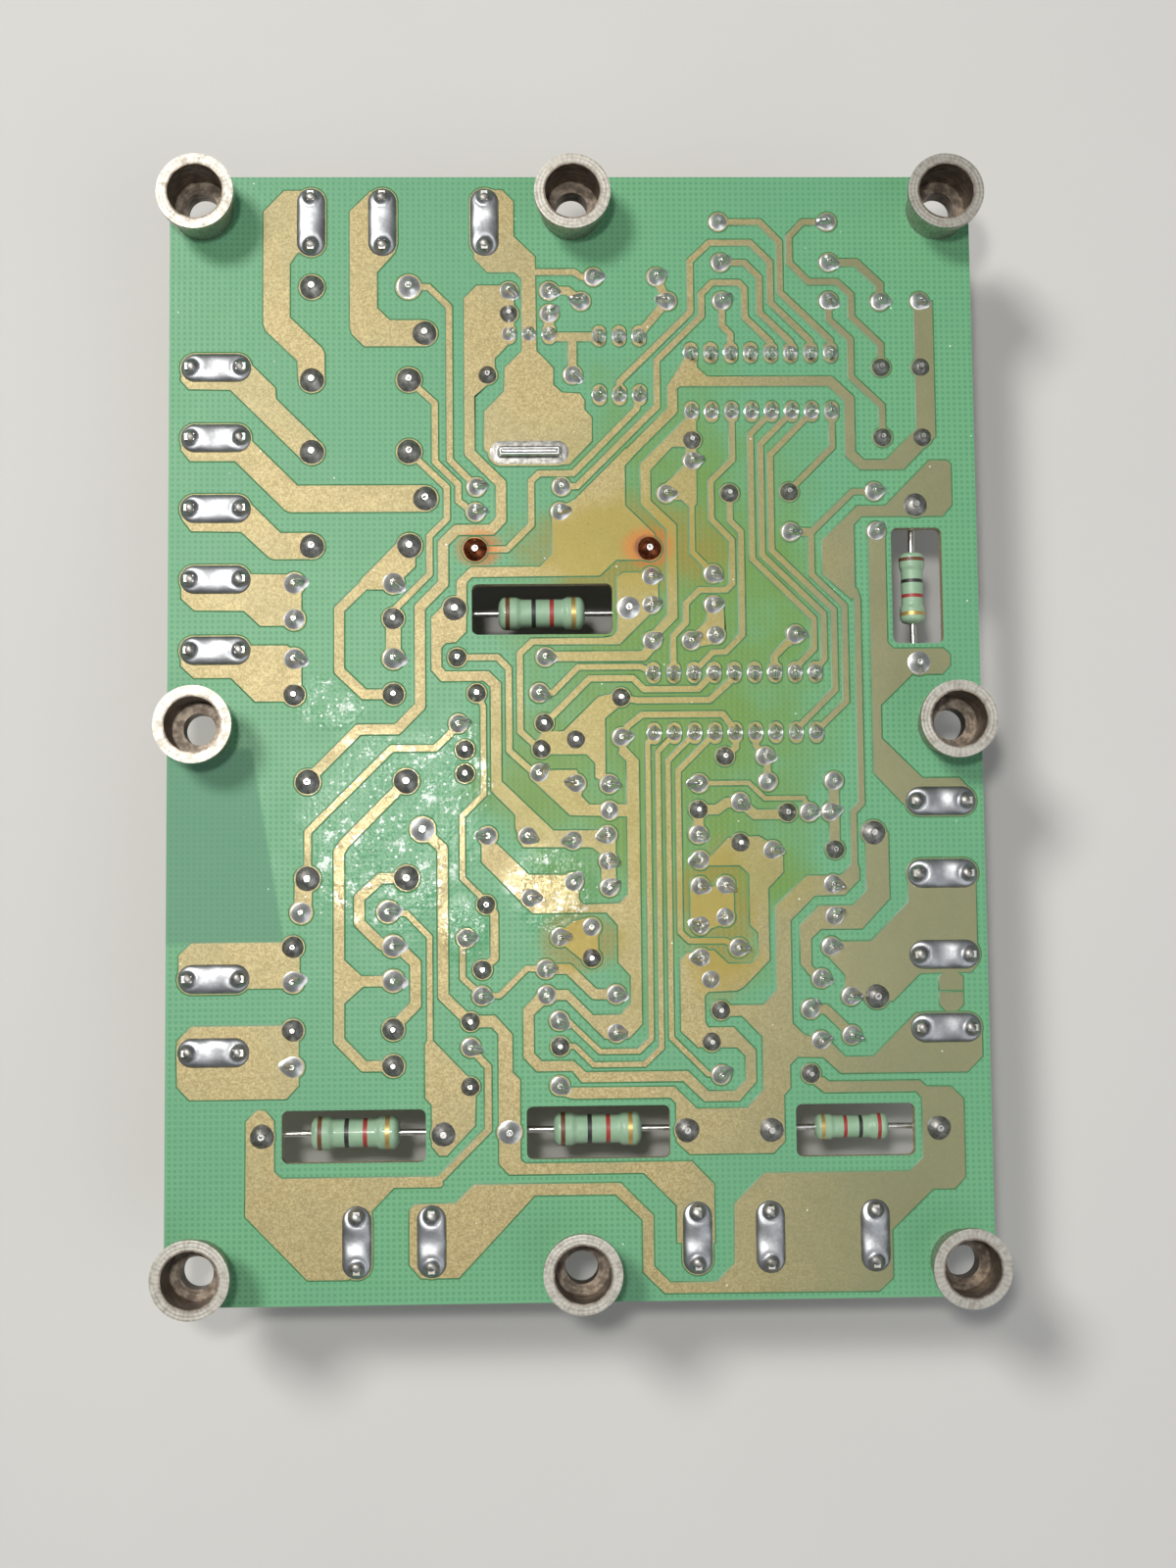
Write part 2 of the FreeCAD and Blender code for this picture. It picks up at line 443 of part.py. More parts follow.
# Copper areas by their outlines.
POURS = [
    # upper left: relay contacts to the blade terminals
    [
        (11.8, 136.5), (14.4, 139.2), (17.8, 139.2), (17.8, 131.2), (16.1, 131.2), (15.1, 129.7),
        (15.1, 122.8),
        (19.2, 118.8), (19.5, 118.0), (19.5, 114.9), (16.2, 114.9), (16.1, 117.2), (12.1, 121.1),
        (11.8, 122.0),
    ],
    [
        (22.7, 136.5), (25.3, 139.1), (26.8, 139.1), (28.4, 137.5), (28.4, 131.2), (26.1, 128.6),
        (26.1, 124.0),
        (27.7, 122.4), (32.1, 122.4), (32.1, 119.05), (24.5, 119.05), (23.0, 120.6), (22.7, 121.5),
    ],
    [
        (1.6, 116.3), (1.5, 114.7), (2.5, 113.6), (7.7, 113.5), (16.9, 104.3), (19.2, 105.5), (18.6, 107.1),
        (13.4, 112.3), (13.3, 113.7), (10.0, 117.0),
    ],
    [
        (1.6, 107.3), (1.6, 105.8), (2.7, 104.4), (8.3, 104.4), (14.6, 98.1), (15.3, 97.85), (32.2, 97.85),
        (32.2, 101.2), (16.1, 101.2), (10.0, 107.3),
    ],
    [
        (1.7, 98.3), (1.7, 97.1), (2.9, 95.5), (9.1, 95.4), (12.6, 92.1), (13.2, 91.9), (17.9, 91.9),
        (17.9, 95.2), (14.0, 95.2), (10.2, 99.0),
    ],
    [
        (1.7, 89.4), (1.7, 87.0), (3.3, 85.5), (9.5, 85.4), (11.5, 83.5), (15.0, 83.5), (16.6, 84.4),
        (16.6, 89.9), (10.4, 90.0),
    ],
    [
        (1.7, 80.4), (1.7, 78.5), (3.3, 77.0), (7.9, 77.0), (10.9, 74.0), (15.0, 74.0), (16.6, 75.0),
        (16.6, 79.6), (14.8, 81.0), (10.4, 81.0),
    ],
    [
        (1.6, 39.7), (1.6, 42.6), (3.2, 44.1), (15.0, 44.1), (16.4, 43.0), (16.4, 39.6),
        (14.6, 38.5), (9.9, 38.5),
    ],
    [
        (1.4, 30.7), (1.5, 32.2), (3.2, 33.9), (15.0, 33.9), (16.3, 32.9), (16.3, 26.6), (14.8, 25.0),
        (3.0, 25.0), (1.5, 26.6),
    ],
    [(28.6, 93.9), (30.8, 93.3), (30.8, 90.9), (29.5, 89.6), (27.9, 88.0), (24.9, 88.0), (24.0, 89.2)],
    [(21.5, 42.2), (24.0, 39.85), (27.9, 39.85), (27.9, 38.6), (24.2, 38.6), (21.5, 36.2)],
    # regulator input, output and the heat-spreading area
    [
        (38.7, 126.85), (42.75, 126.85), (43.4, 126.1), (43.4, 120.5), (42.4, 119.0),
        (40.9, 117.4), (41.0, 115.4),
        (39.9, 114.0), (38.35, 112.6), (37.1, 112.6), (37.1, 125.2),
    ],
    [
        (38.4, 137.5), (40.0, 139.3), (42.0, 139.3), (43.4, 137.8), (43.4, 133.25), (46.1, 130.6),
        (46.2, 118.4),
        (48.3, 116.2), (48.3, 114.0), (49.4, 113.0), (51.6, 112.9), (52.2, 112.0), (52.2, 110.8),
        (53.1, 109.8),
        (53.1, 106.8), (50.2, 103.8), (41.7, 103.7), (39.5, 105.8), (39.6, 110.6), (42.1, 113.2),
        (42.2, 116.2),
        (44.4, 118.4), (44.4, 127.7), (43.55, 128.6), (40.1, 128.6), (38.4, 130.4),
    ],
    # supply area round the first power resistor
    [
        (48.0, 98.2), (49.5, 98.6), (50.9, 99.3), (57.4, 105.8), (58.3, 104.8), (57.2, 103.6), (57.2, 98.5),
        (60.9, 94.8), (60.4, 91.6), (56.0, 91.6), (53.9, 89.6), (37.9, 89.5), (37.2, 88.8), (37.1, 82.6),
        (35.8, 81.3), (34.6, 81.2), (34.0, 80.6), (34.0, 78.2), (34.5, 77.6), (39.9, 77.6), (41.4, 76.1),
        (41.4, 63.8), (47.5, 57.9), (47.8, 57.6), (53.6, 57.6), (54.5, 57.9), (55.5, 57.0), (55.5, 50.6),
        (53.7, 50.6), (53.7, 54.6), (52.6, 55.5), (44.0, 55.6), (43.1, 58.0), (43.1, 59.6), (40.15, 62.6),
        (40.15, 75.6), (39.3, 76.4), (34.0, 76.4), (32.8, 77.8), (32.8, 84.4), (35.0, 86.6), (36.0, 87.2),
        (36.0, 89.0), (37.8, 90.75), (46.4, 90.75), (48.0, 92.4),
    ],
    [(65.0, 117.4), (66.5, 117.4), (66.5, 116.2), (67.8, 115.0), (67.8, 113.8), (64.0, 113.8),
     (63.0, 114.2)],
    [
        (90.3, 104.2), (94.3, 108.2), (94.35, 124.7), (96.65, 124.7), (96.65, 107.2),
        (92.5, 103.0), (89.0, 103.0),
        (89.0, 104.2),
    ],
    [
        (65.0, 109.6), (66.3, 109.6), (66.2, 98.7), (65.9, 98.3), (65.3, 98.3), (64.3, 99.2), (62.4, 99.2),
        (61.4, 100.4), (65.0, 103.8), (65.0, 106.0), (63.2, 106.0), (60.4, 103.0), (60.4, 99.1),
        (63.6, 96.0),
        (63.6, 84.2), (61.0, 81.6), (60.1, 82.2), (62.4, 84.6), (62.4, 95.4), (59.2, 98.7), (59.2, 103.8),
    ],
    [
        (56.1, 89.3), (56.8, 89.95), (61.2, 89.95), (61.2, 85.7), (56.3, 80.9), (54.5, 80.9), (54.5, 81.7),
        (55.4, 81.9), (56.1, 82.6),
    ],
    [(67.3, 85.8), (69.4, 85.8), (69.5, 82.6), (68.4, 80.9), (65.3, 80.4), (65.3, 82.0), (67.3, 83.8)],
    # right side, upper half
    [
        (86.5, 98.3), (90.1, 98.3), (95.8, 104.1), (98.0, 104.1), (98.5, 103.6), (98.5, 98.4), (97.3, 97.0),
        (87.0, 97.0), (86.0, 95.9), (86.0, 86.9), (85.6, 86.4), (82.0, 89.6), (82.0, 93.9),
    ],
    [
        (87.9, 95.0), (89.95, 95.0), (89.95, 80.9), (90.7, 80.1), (97.0, 80.1), (97.8, 79.3), (97.8, 78.0),
        (96.8, 76.9), (93.0, 76.9), (88.95, 73.0), (88.95, 68.8), (94.0, 63.75), (98.6, 63.75),
        (100.3, 61.9),
        (100.3, 60.9), (91.5, 60.6), (87.9, 64.5),
    ],
    # middle
    [
        (53.6, 74.3), (56.0, 74.8), (56.6, 73.4), (54.35, 71.6), (54.35, 63.4), (53.1, 64.2), (53.1, 66.0),
        (52.0, 67.1), (46.4, 67.15), (45.6, 68.4), (46.6, 70.0), (49.2, 70.0),
    ],
    [
        (46.4, 65.15), (50.7, 65.15), (51.6, 63.5), (51.3, 61.9), (52.3, 60.8), (57.2, 60.8), (57.2, 59.3),
        (49.9, 59.5), (45.6, 63.6),
    ],
    [(64.7, 50.5), (70.1, 50.5), (70.1, 46.6), (69.2, 46.0), (67.0, 45.2), (65.1, 45.2), (64.7, 45.7)],
    [
        (67.2, 54.1), (69.5, 56.5), (73.3, 56.7), (74.5, 56.0), (76.3, 54.3), (76.3, 52.2), (74.4, 50.2),
        (74.4, 41.3), (71.1, 38.0), (70.3, 37.6), (66.8, 37.5), (66.3, 37.0), (66.3, 33.7), (66.7, 33.1),
        (69.8, 33.1), (72.5, 30.3), (72.5, 26.4), (70.4, 24.1), (66.1, 24.1), (63.5, 26.6), (51.0, 26.6),
        (49.9, 28.0), (45.5, 28.0), (43.9, 29.7), (43.9, 35.6), (45.6, 37.4), (47.0, 36.6), (45.15, 34.9),
        (45.15, 30.2), (46.1, 29.2), (50.0, 29.2), (51.5, 27.8), (64.1, 27.8), (66.6, 25.3), (69.9, 25.3),
        (71.25, 26.6), (71.25, 29.6), (70.2, 30.65), (65.4, 30.7), (63.35, 32.7), (63.35, 41.4),
        (64.2, 42.3),
        (67.5, 42.6), (69.3, 40.9), (72.2, 40.9), (73.1, 42.0), (73.1, 44.7), (72.1, 45.7), (72.1, 52.0),
        (70.9, 53.1), (66.0, 53.1),
    ],
    [
        (38.9, 56.5), (38.9, 53.8), (45.1, 47.4), (54.3, 47.4), (55.7, 45.8), (55.7, 41.2), (57.2, 39.6),
        (57.2, 36.2), (55.9, 34.8), (52.5, 34.75), (49.4, 37.9), (46.8, 37.9), (46.8, 36.7), (49.2, 36.7),
        (53.9, 31.9), (56.9, 31.9), (58.5, 33.6), (58.5, 66.3), (57.0, 67.9), (56.4, 69.2), (56.0, 67.2),
        (57.0, 66.2), (57.0, 49.6), (55.9, 48.5), (51.4, 48.4), (50.9, 49.0), (50.9, 51.2), (50.2, 52.1),
        (44.7, 52.15), (40.9, 55.9),
    ],
    [(48.5, 45.0), (50.0, 46.3), (52.0, 46.8), (53.2, 45.6), (53.2, 41.8), (51.6, 41.2), (49.0, 43.4)],
    # right side, lower half
    [
        (85.0, 53.3), (84.0, 52.1), (83.3, 51.7), (79.2, 51.7), (75.3, 47.9), (75.3, 37.6), (73.6, 35.8),
        (69.0, 35.8), (69.0, 34.5), (70.9, 34.5), (73.4, 31.9), (73.4, 25.4), (71.4, 23.2), (65.1, 23.2),
        (62.4, 25.9), (48.5, 25.95), (48.5, 25.0), (49.9, 24.6), (61.9, 24.6), (62.6, 23.9), (62.6, 19.2),
        (64.2, 17.7), (74.5, 17.7), (75.9, 19.1), (75.9, 24.7), (76.7, 25.6), (76.7, 28.4), (77.7, 29.4),
        (80.9, 29.3), (83.0, 27.35), (98.7, 27.35), (100.6, 29.2), (100.6, 32.75), (92.5, 34.6),
        (87.1, 29.3),
        (83.6, 29.3), (81.9, 31.0), (78.5, 32.1), (77.1, 33.5), (77.1, 46.2), (80.2, 49.25), (83.9, 49.3),
        (85.8, 51.2), (85.8, 52.6), (85.55, 53.3),
    ],
    [
        (86.7, 57.0), (89.5, 57.0), (89.5, 48.8), (86.0, 45.1), (80.9, 45.1), (79.6, 43.9), (79.6, 40.6),
        (80.6, 39.6), (79.4, 39.4), (78.3, 40.8), (78.3, 45.5), (80.7, 47.95), (84.9, 47.95), (86.7, 49.7),
    ],
    [
        (91.9, 51.0), (91.9, 48.3), (87.1, 43.5), (82.1, 43.5), (81.9, 41.5), (83.8, 39.4), (83.8, 37.2),
        (84.6, 36.4), (89.6, 36.1), (93.1, 39.5), (99.5, 39.6), (100.3, 40.6), (100.3, 51.0),
    ],
    # bottom edge
    [
        (79.5, 26.9), (80.9, 26.8), (81.5, 26.3), (92.8, 26.3), (93.5, 25.55), (96.6, 25.5), (98.1, 24.0),
        (98.1, 14.5), (96.8, 13.1), (94.1, 13.1), (88.9, 8.2), (88.9, 2.4), (87.2, 0.85), (60.9, 0.95),
        (58.3, 3.5), (58.3, 9.8), (55.0, 12.95), (45.1, 12.95), (35.8, 3.15), (31.2, 3.15), (29.8, 4.8),
        (29.8, 11.3), (30.4, 12.0), (35.4, 12.1), (37.7, 14.3), (55.6, 14.3), (59.6, 10.3), (59.6, 4.2),
        (61.6, 2.2), (67.3, 2.2), (69.5, 4.4), (69.6, 11.6), (73.3, 15.25), (91.3, 15.25), (93.0, 16.9),
        (93.0, 24.2), (92.3, 25.0), (80.9, 25.0), (79.3, 26.3),
    ],
    [
        (37.4, 34.85), (40.4, 34.85), (42.5, 32.5), (42.5, 27.9), (43.4, 27.0), (43.4, 17.3), (43.9, 16.8),
        (64.4, 16.8), (67.1, 14.0), (67.1, 7.0), (62.5, 7.0), (62.5, 11.5), (58.5, 15.5), (42.0, 15.5),
        (40.8, 16.8), (40.8, 32.6), (40.0, 33.45), (37.4, 33.45),
    ],
    [
        (9.9, 22.3), (11.2, 23.6), (12.2, 23.6), (13.3, 22.3), (13.3, 16.2), (14.2, 15.35), (33.6, 15.35),
        (33.9, 14.4), (33.6, 14.1), (27.9, 14.1), (25.2, 11.3), (25.2, 7.5), (22.4, 3.1), (17.4, 3.1),
        (9.85, 10.8),
    ],
    [
        (31.8, 31.4), (32.1, 31.9), (32.7, 31.9), (38.0, 26.4), (37.85, 21.5), (34.4, 17.9), (33.5, 17.9),
        (32.6, 19.0), (32.6, 24.0), (31.8, 24.9),
    ],
    # the two halves of the open solder bridge
    [(96.2, 39.7), (97.6, 39.7), (98.4, 39.0), (98.4, 37.4), (95.5, 37.4), (95.5, 39.0)],
    [(95.5, 37.1), (98.4, 37.1), (98.4, 35.6), (97.6, 34.8), (96.2, 34.8), (95.5, 35.6)],
]

# ---------------------------------------------------------------------------------------------------
# Document helpers
# ---------------------------------------------------------------------------------------------------
nodes = []


def node(label, obj):
    """Names a finished sub-part, which makes it one exported node."""
    obj.Label = label
    nodes.append(obj)
    return obj


def bind(obj, expressions):
    """Ties properties of an object to the sheet."""
    for prop, expression in expressions.items():
        obj.setExpression(prop, expression)
    return obj


def place(obj, x, y, z):
    return bind(obj, {"Placement.Base.x": x, "Placement.Base.y": y, "Placement.Base.z": z})


def box(name, middle_x, middle_y, low_z, length, width, height):
    """A box centred on a place in plan, standing on low_z. Every argument is an expression."""
    obj = doc.addObject("Part::Box", name)
    bind(obj, {"Length": length, "Width": width, "Height": height})
    return place(obj, f"{middle_x} - ({length}) / 2", f"{middle_y} - ({width}) / 2", low_z)


def cylinder(name, x, y, low_z, radius, height):
    """A vertical cylinder. Every argument is an expression."""
    obj = doc.addObject("Part::Cylinder", name)
    bind(obj, {"Radius": radius, "Height": height})
    return place(obj, x, y, low_z)


def cut(name, base, tool):
    obj = doc.addObject("Part::Cut", name)
    obj.Base = base
    obj.Tool = tool
    return obj


def fuse(name, shapes):
    obj = doc.addObject("Part::MultiFuse", name)
    obj.Shapes = shapes
    return obj


def group(name, members):
    obj = doc.addObject("Part::Compound", name)
    obj.Links = members
    return obj


def feature(name, shapes):
    """A Part::Feature holding one shape, or several as a compound."""
    obj = doc.addObject("Part::Feature", name)
    obj.Shape = Part.makeCompound(shapes) if len(shapes) > 1 else shapes[0]
    return obj


def plane_of(body, role):
    return next(item for item in body.Origin.OriginFeatures if item.Role == role)


def sketch_on(body, name, role):
    sketch = body.newObject("Sketcher::SketchObject", name)
    sketch.AttachmentSupport = [(plane_of(body, role), "")]
    sketch.MapMode = "FlatFace"
    return sketch


def bound_polygon(sketch, points):
    """Closed outline whose corners are tied to the sheet. points holds pairs of expressions."""
    corners = [Vector(2.0 + index, 1.0 + index * index, 0) for index in range(len(points))]
    for index, corner in enumerate(corners):
        sketch.addGeometry(Part.LineSegment(corner, corners[(index + 1) % len(corners)]), False)
    for index in range(len(points)):
        sketch.addConstraint(Sketcher.Constraint("Coincident", index, 2, (index + 1) % len(points), 1))
    start = (-1, 1)
    for index, (x, y) in enumerate(points):
        for kind, expression in (("DistanceX", x), ("DistanceY", y)):
            number = sketch.addConstraint(Sketcher.Constraint(kind, *start, index, 1, 1.0))
            sketch.setExpression(f"Constraints[{number}]", expression)


def revolved_body(name, points):
    """PartDesign body turned about its Z axis from a profile of (radius, height) expressions."""
    body = doc.addObject("PartDesign::Body", name)
    sketch = sketch_on(body, f"{name}_profile", "XZ_Plane")
    bound_polygon(sketch, points)
    turn = body.newObject("PartDesign::Revolution", f"{name}_turn")
    turn.Profile = sketch
    turn.ReferenceAxis = (sketch, ["V_Axis"])
    turn.Angle = 360.0
    return body


# ---------------------------------------------------------------------------------------------------
# Shape helpers for wires and joints
# ---------------------------------------------------------------------------------------------------
def bent_wire(points, radius, bend):
    """Round wire along straight runs joined by tangent arcs."""
    edges = []
    start = points[0]
    for before, corner, after in zip(points, points[1:], points[2:]):
        into = (corner - before).normalize()
        out = (after - corner).normalize()
        first = corner - into * bend
        last = corner + out * bend
        middle = corner + (out - into).normalize() * bend * (math.sqrt(2.0) - 1.0)
        edges.append(Part.makeLine(start, first))
        edges.append(Part.Arc(first, middle, last).toShape())
        start = last
    edges.append(Part.makeLine(start, points[-1]))
    direction = (points[1] - points[0]).normalize()
    profile = Part.Wire(Part.makeCircle(radius, points[0], direction))
    return Part.Wire(edges).makePipeShell([profile], True, False)


def turned(profile, origin, direction):
    """Solid of revolution about an axis, from (distance along the axis, radius) points."""
    turn = Rotation(Vector(1, 0, 0), direction)
    wire = Part.makePolygon([Vector(a, r, 0) for a, r in profile + profile[:1]])
    solid = Part.Face(wire).revolve(Vector(0, 0, 0), Vector(1, 0, 0), 360.0)
    solid.Placement = Placement(origin, turn)
    return solid


def ring_joint(point, pad, lead):
    """Solder cone round a lead, from the pad up to near the lead's tip."""
    bore = lead + size("solder_gap")
    rise = size("solder_rise")
    profile = [(0.0, bore), (0.0, pad / 2 - 0.1), (0.2, pad / 2 - 0.25), (rise, bore + 0.25), (rise, bore)]
    return turned(profile, at(point, copper_face()), Vector(0, 0, 1))


def stadium_face(middle, length, width, z, lengthwise_x):
    """Flat face with round ends, length measured over the ends."""
    half = (length - width) / 2
    radius = width / 2
    signs = [(-1, -1), (1, -1), (1, 1), (-1, 1)]
    corners = [Vector(across_sign * half, up_sign * radius, 0) for across_sign, up_sign in signs]
    edges = [
        Part.makeLine(corners[0], corners[1]),
        Part.Arc(corners[1], Vector(half + radius, 0, 0), corners[2]).toShape(),
        Part.makeLine(corners[2], corners[3]),
        Part.Arc(corners[3], Vector(-half - radius, 0, 0), corners[0]).toShape(),
    ]
    face = Part.Face(Part.Wire(edges))
    turn = Rotation(Vector(0, 0, 1), 0 if lengthwise_x else 90)
    face.Placement = Placement(Vector(middle.x, middle.y, z), turn)
    return face


# ---------------------------------------------------------------------------------------------------
# Pins: every lead that passes the board, from the layout
# ---------------------------------------------------------------------------------------------------
def relay_pins(corner):
    """Normally open, normally closed, the two coil pins and the common, in that order."""
    x, y = corner
    kx = GRID_WIDTH / size("board_width")
    ky = GRID_LENGTH / size("board_length")
    coil = size("coil_offset") * kx
    span = size("coil_span") * ky
    common = size("common_offset") * kx
    return [(x, y), (x, y - span), (x + coil, y), (x + coil, y - span), (x + common, y - span / 2)]


def dip_pins(first, count):
    """Pins of both rows of a package, in layout coordinates that keep the real pitch."""
    x, y = first
    step = size("pin_pitch") * GRID_WIDTH / size("board_width")
    drop = size("row_pitch") * GRID_LENGTH / size("board_length")
    return [(x + index * step, y - row * drop) for row in range(2) for index in range(count)]


def pad_plan():
    """(place, pad diameter, lead radius) of each round joint on the board."""
    thin = size("lead_radius")
    heavy = size("heavy_lead_radius")
    plan = [(pin, size("relay_pad"), heavy) for corner in RELAYS for pin in relay_pins(corner)]
    for first, last, _ in POWER_RESISTORS + SMALL_POWER_RESISTORS:
        plan += [(first, size("heavy_pad"), heavy), (last, size("heavy_pad"), heavy)]
    plan += [(end, size("heavy_pad"), heavy) for end in HOT_RESISTOR + LINE_CAPACITOR]
    plan += [(end, size("diode_pad"), thin) for pair in DIODES for end in pair]
    small = RESISTORS + FILM_CAPACITORS + DISC_CAPACITORS + LEDS
    plan += [(end, size("small_pad"), thin) for pair in small for end in pair]
    plan += [(end, size("small_pad"), thin) for can in CANS for end in can[:2]]
    plan += [(end, size("small_pad"), thin) for end in RESONATOR]
    return plan


PADS = pad_plan()
PIN_POINTS = [pin for first, count in DIP_PACKAGES.values() for pin in dip_pins(first, count)] + REGULATOR
BLADES = [(point, True) for point in LEFT_BLADES + RIGHT_BLADES]
BLADES += [(point, False) for point in TOP_BLADES + BOTTOM_BLADES]


def blade_legs(point, lengthwise_x):
    """Plan centres of the two legs of a blade terminal."""
    offset = size("leg_pitch") / 2
    step = Vector(offset, 0, 0) if lengthwise_x else Vector(0, offset, 0)
    return [at(point) - step, at(point) + step]


# ---------------------------------------------------------------------------------------------------
# Board, copper and solder
# ---------------------------------------------------------------------------------------------------
def board_blank():
    """Plain laminate sheet, padded from a rectangle centred on the origin."""
    body = doc.addObject("PartDesign::Body", "board_blank")
    sketch = sketch_on(body, "board_outline", "XY_Plane")
    corners = [Vector(-50, -70, 0), Vector(50, -70, 0), Vector(50, 70, 0), Vector(-50, 70, 0)]
    for index, corner in enumerate(corners):
        sketch.addGeometry(Part.LineSegment(corner, corners[(index + 1) % 4]), False)
    for index in range(4):
        sketch.addConstraint(Sketcher.Constraint("Coincident", index, 2, (index + 1) % 4, 1))
    for index, kind in enumerate(("Horizontal", "Vertical", "Horizontal", "Vertical")):
        sketch.addConstraint(Sketcher.Constraint(kind, index))
    sketch.addConstraint(Sketcher.Constraint("Symmetric", 0, 1, 1, 2, -1, 1))
    wide = sketch.addConstraint(Sketcher.Constraint("DistanceX", 0, 1, 0, 2, 100.0))
    sketch.setExpression(f"Constraints[{wide}]", "Dims.board_width")
    tall = sketch.addConstraint(Sketcher.Constraint("DistanceY", 1, 1, 1, 2, 140.0))
    sketch.setExpression(f"Constraints[{tall}]", "Dims.board_length")
    pad = body.newObject("PartDesign::Pad", "board_sheet")
    pad.Profile = sketch
    pad.setExpression("Length", "Dims.board_thickness")
    body.setExpression("Placement.Base.z", COMPONENT_FACE)
    return body


def slot_cutter(index, middle, length, lengthwise_x):
    """Rounded cutter of one cooling slot, proud of both faces of the board."""
    x, y = middle
    sizes = (length, "Dims.slot_width") if lengthwise_x else ("Dims.slot_width", length)
    block = box(
        f"slot_block_{index}", along(x), across(y), f"{COMPONENT_FACE} - 1",
        *sizes, "Dims.board_thickness + 2",
    )
    doc.recompute()
    rounded = doc.addObject("Part::Fillet", f"slot_cutter_{index}")
    rounded.Base = block
    upright = [
        number
        for number, edge in enumerate(block.Shape.Edges, start=1)
        if abs(edge.tangentAt(edge.FirstParameter).z) > 0.9
    ]
    rounded.Edges = [(number, size("slot_radius"), size("slot_radius")) for number in upright]
    return rounded


def spacer_places():
    """Name and plan expressions of each mounting spacer."""
    columns = {
        "left": "-Dims.board_width / 2 + Dims.spacer_left",
        "middle": "(Dims.spacer_left - Dims.spacer_right) / 2",
        "right": "Dims.board_width / 2 - Dims.spacer_right",
    }
    rows = {
        "lower": "-Dims.board_length / 2 + Dims.spacer_end",
        "centre": "0",
        "upper": "Dims.board_length / 2 - Dims.spacer_end",
    }
    return [
        (f"spacer_{row}_{column}", columns[column], rows[row])
        for row in rows
        for column in columns
        if (row, column) != ("centre", "middle")
    ]


def drill_cutters():
    """Cylinders and slots for every lead, pin and leg that passes the board."""
    low = component_face() - 1
    deep = size("board_thickness") + 3
    gap = size("drill_gap")
    cutters = [Part.makeCylinder(lead + gap, deep, at(point, low)) for point, _, lead in PADS]
    pin = size("pin_width") / 2 + gap
    cutters += [Part.makeCylinder(pin + 0.05, deep, at(point, low)) for point in PIN_POINTS]
    leg = size("leg_width") + 2 * gap
    thick = size("blade_thickness") + 2 * gap
    for point, lengthwise_x in BLADES:
        for centre in blade_legs(point, lengthwise_x):
            length, width = (leg, thick) if lengthwise_x else (thick, leg)
            cutters.append(Part.makeBox(length, width, deep, centre + Vector(-length / 2, -width / 2, low)))
    tab = size("tab_width") + 2 * gap
    sheet_slot = size("sheet") + 2 * gap
    corner = at(SINK_TAB, low) - Vector(tab / 2, sheet_slot / 2, 0)
    cutters.append(Part.makeBox(tab, sheet_slot, deep, corner))
    return cutters


def make_board():
    cutters = []
    long_slots = [(middle, "Dims.slot_length", True) for _, _, middle in POWER_RESISTORS]
    short_slots = [
        (middle, "Dims.short_slot_length", first[1] == last[1])
        for first, last, middle in SMALL_POWER_RESISTORS
    ]
    for index, (middle, length, lengthwise_x) in enumerate(long_slots + short_slots, start=1):
        cutters.append(slot_cutter(index, middle, length, lengthwise_x))
    for name, x, y in spacer_places():
        cutters.append(
            cylinder(
                f"{name}_hole", x, y, f"{COMPONENT_FACE} - 1",
                "Dims.spacer_shank_radius + Dims.spacer_seat_gap", "Dims.board_thickness + 2",
            )
        )
    cutters.append(feature("drills", drill_cutters()))
    node("board", cut("board_cut", board_blank(), group("board_openings", cutters)))


def track_faces(width, points, z):
    """A track as one face per run and one per corner."""
    faces = []
    places = [at(point, z) for point in points]
    for start, end in zip(places, places[1:]):
        run = (end - start).normalize()
        side = Vector(-run.y, run.x, 0) * (width / 2)
        outline = [start + side, start - side, end - side, end + side, start + side]
        faces.append(Part.Face(Part.makePolygon(outline)))
    faces += [Part.Face(Part.Wire(Part.makeCircle(width / 2, place))) for place in places]
    return faces


def touching_groups(pieces):
    """Sorts flat pieces into groups that touch, so that each electrical net is joined on its own."""
    groups = []
    for piece in pieces:
        limits = piece.BoundBox
        joined = [piece]
        kept = []
        for other in groups:
            near = any(
                limits.intersect(item.BoundBox) and piece.distToShape(item)[0] < 1e-6 for item in other
            )
            if near:
                joined += other
            else:
                kept.append(other)
        groups = kept + [joined]
    return groups


def area_face(outline, z):
    """Face of a copper area, turned to face up."""
    face = Part.Face(Part.makePolygon([at(point, z) for point in outline + outline[:1]]))
    if face.normalAt(0, 0).z > 0:
        return face
    back = list(reversed(outline))
    return Part.Face(Part.makePolygon([at(point, z) for point in back + back[:1]]))


def joined_faces(members):
    """One flat outline from pieces that overlap in a plane."""
    if len(members) == 1:
        return members[0]
    pieces = members[0].multiFuse(members[1:])
    return Part.makeShell(pieces.Faces).removeSplitter()


def pad_faces(z):
    """Copper land of each joint."""
    faces = [Part.Face(Part.Wire(Part.makeCircle(pad / 2, at(point, z)))) for point, pad, _ in PADS]
    for point in PIN_POINTS:
        faces.append(stadium_face(at(point), size("pin_pad_length"), size("pin_pad_width"), z, False))
    for point, lengthwise_x in BLADES:
        faces.append(
            stadium_face(at(point), size("blade_pad_length"), size("blade_pad_width"), z, lengthwise_x)
        )
    faces.append(stadium_face(at(SINK_TAB), size("tab_width") + 3.0, size("sheet") + 2.6, z, True))
    return faces


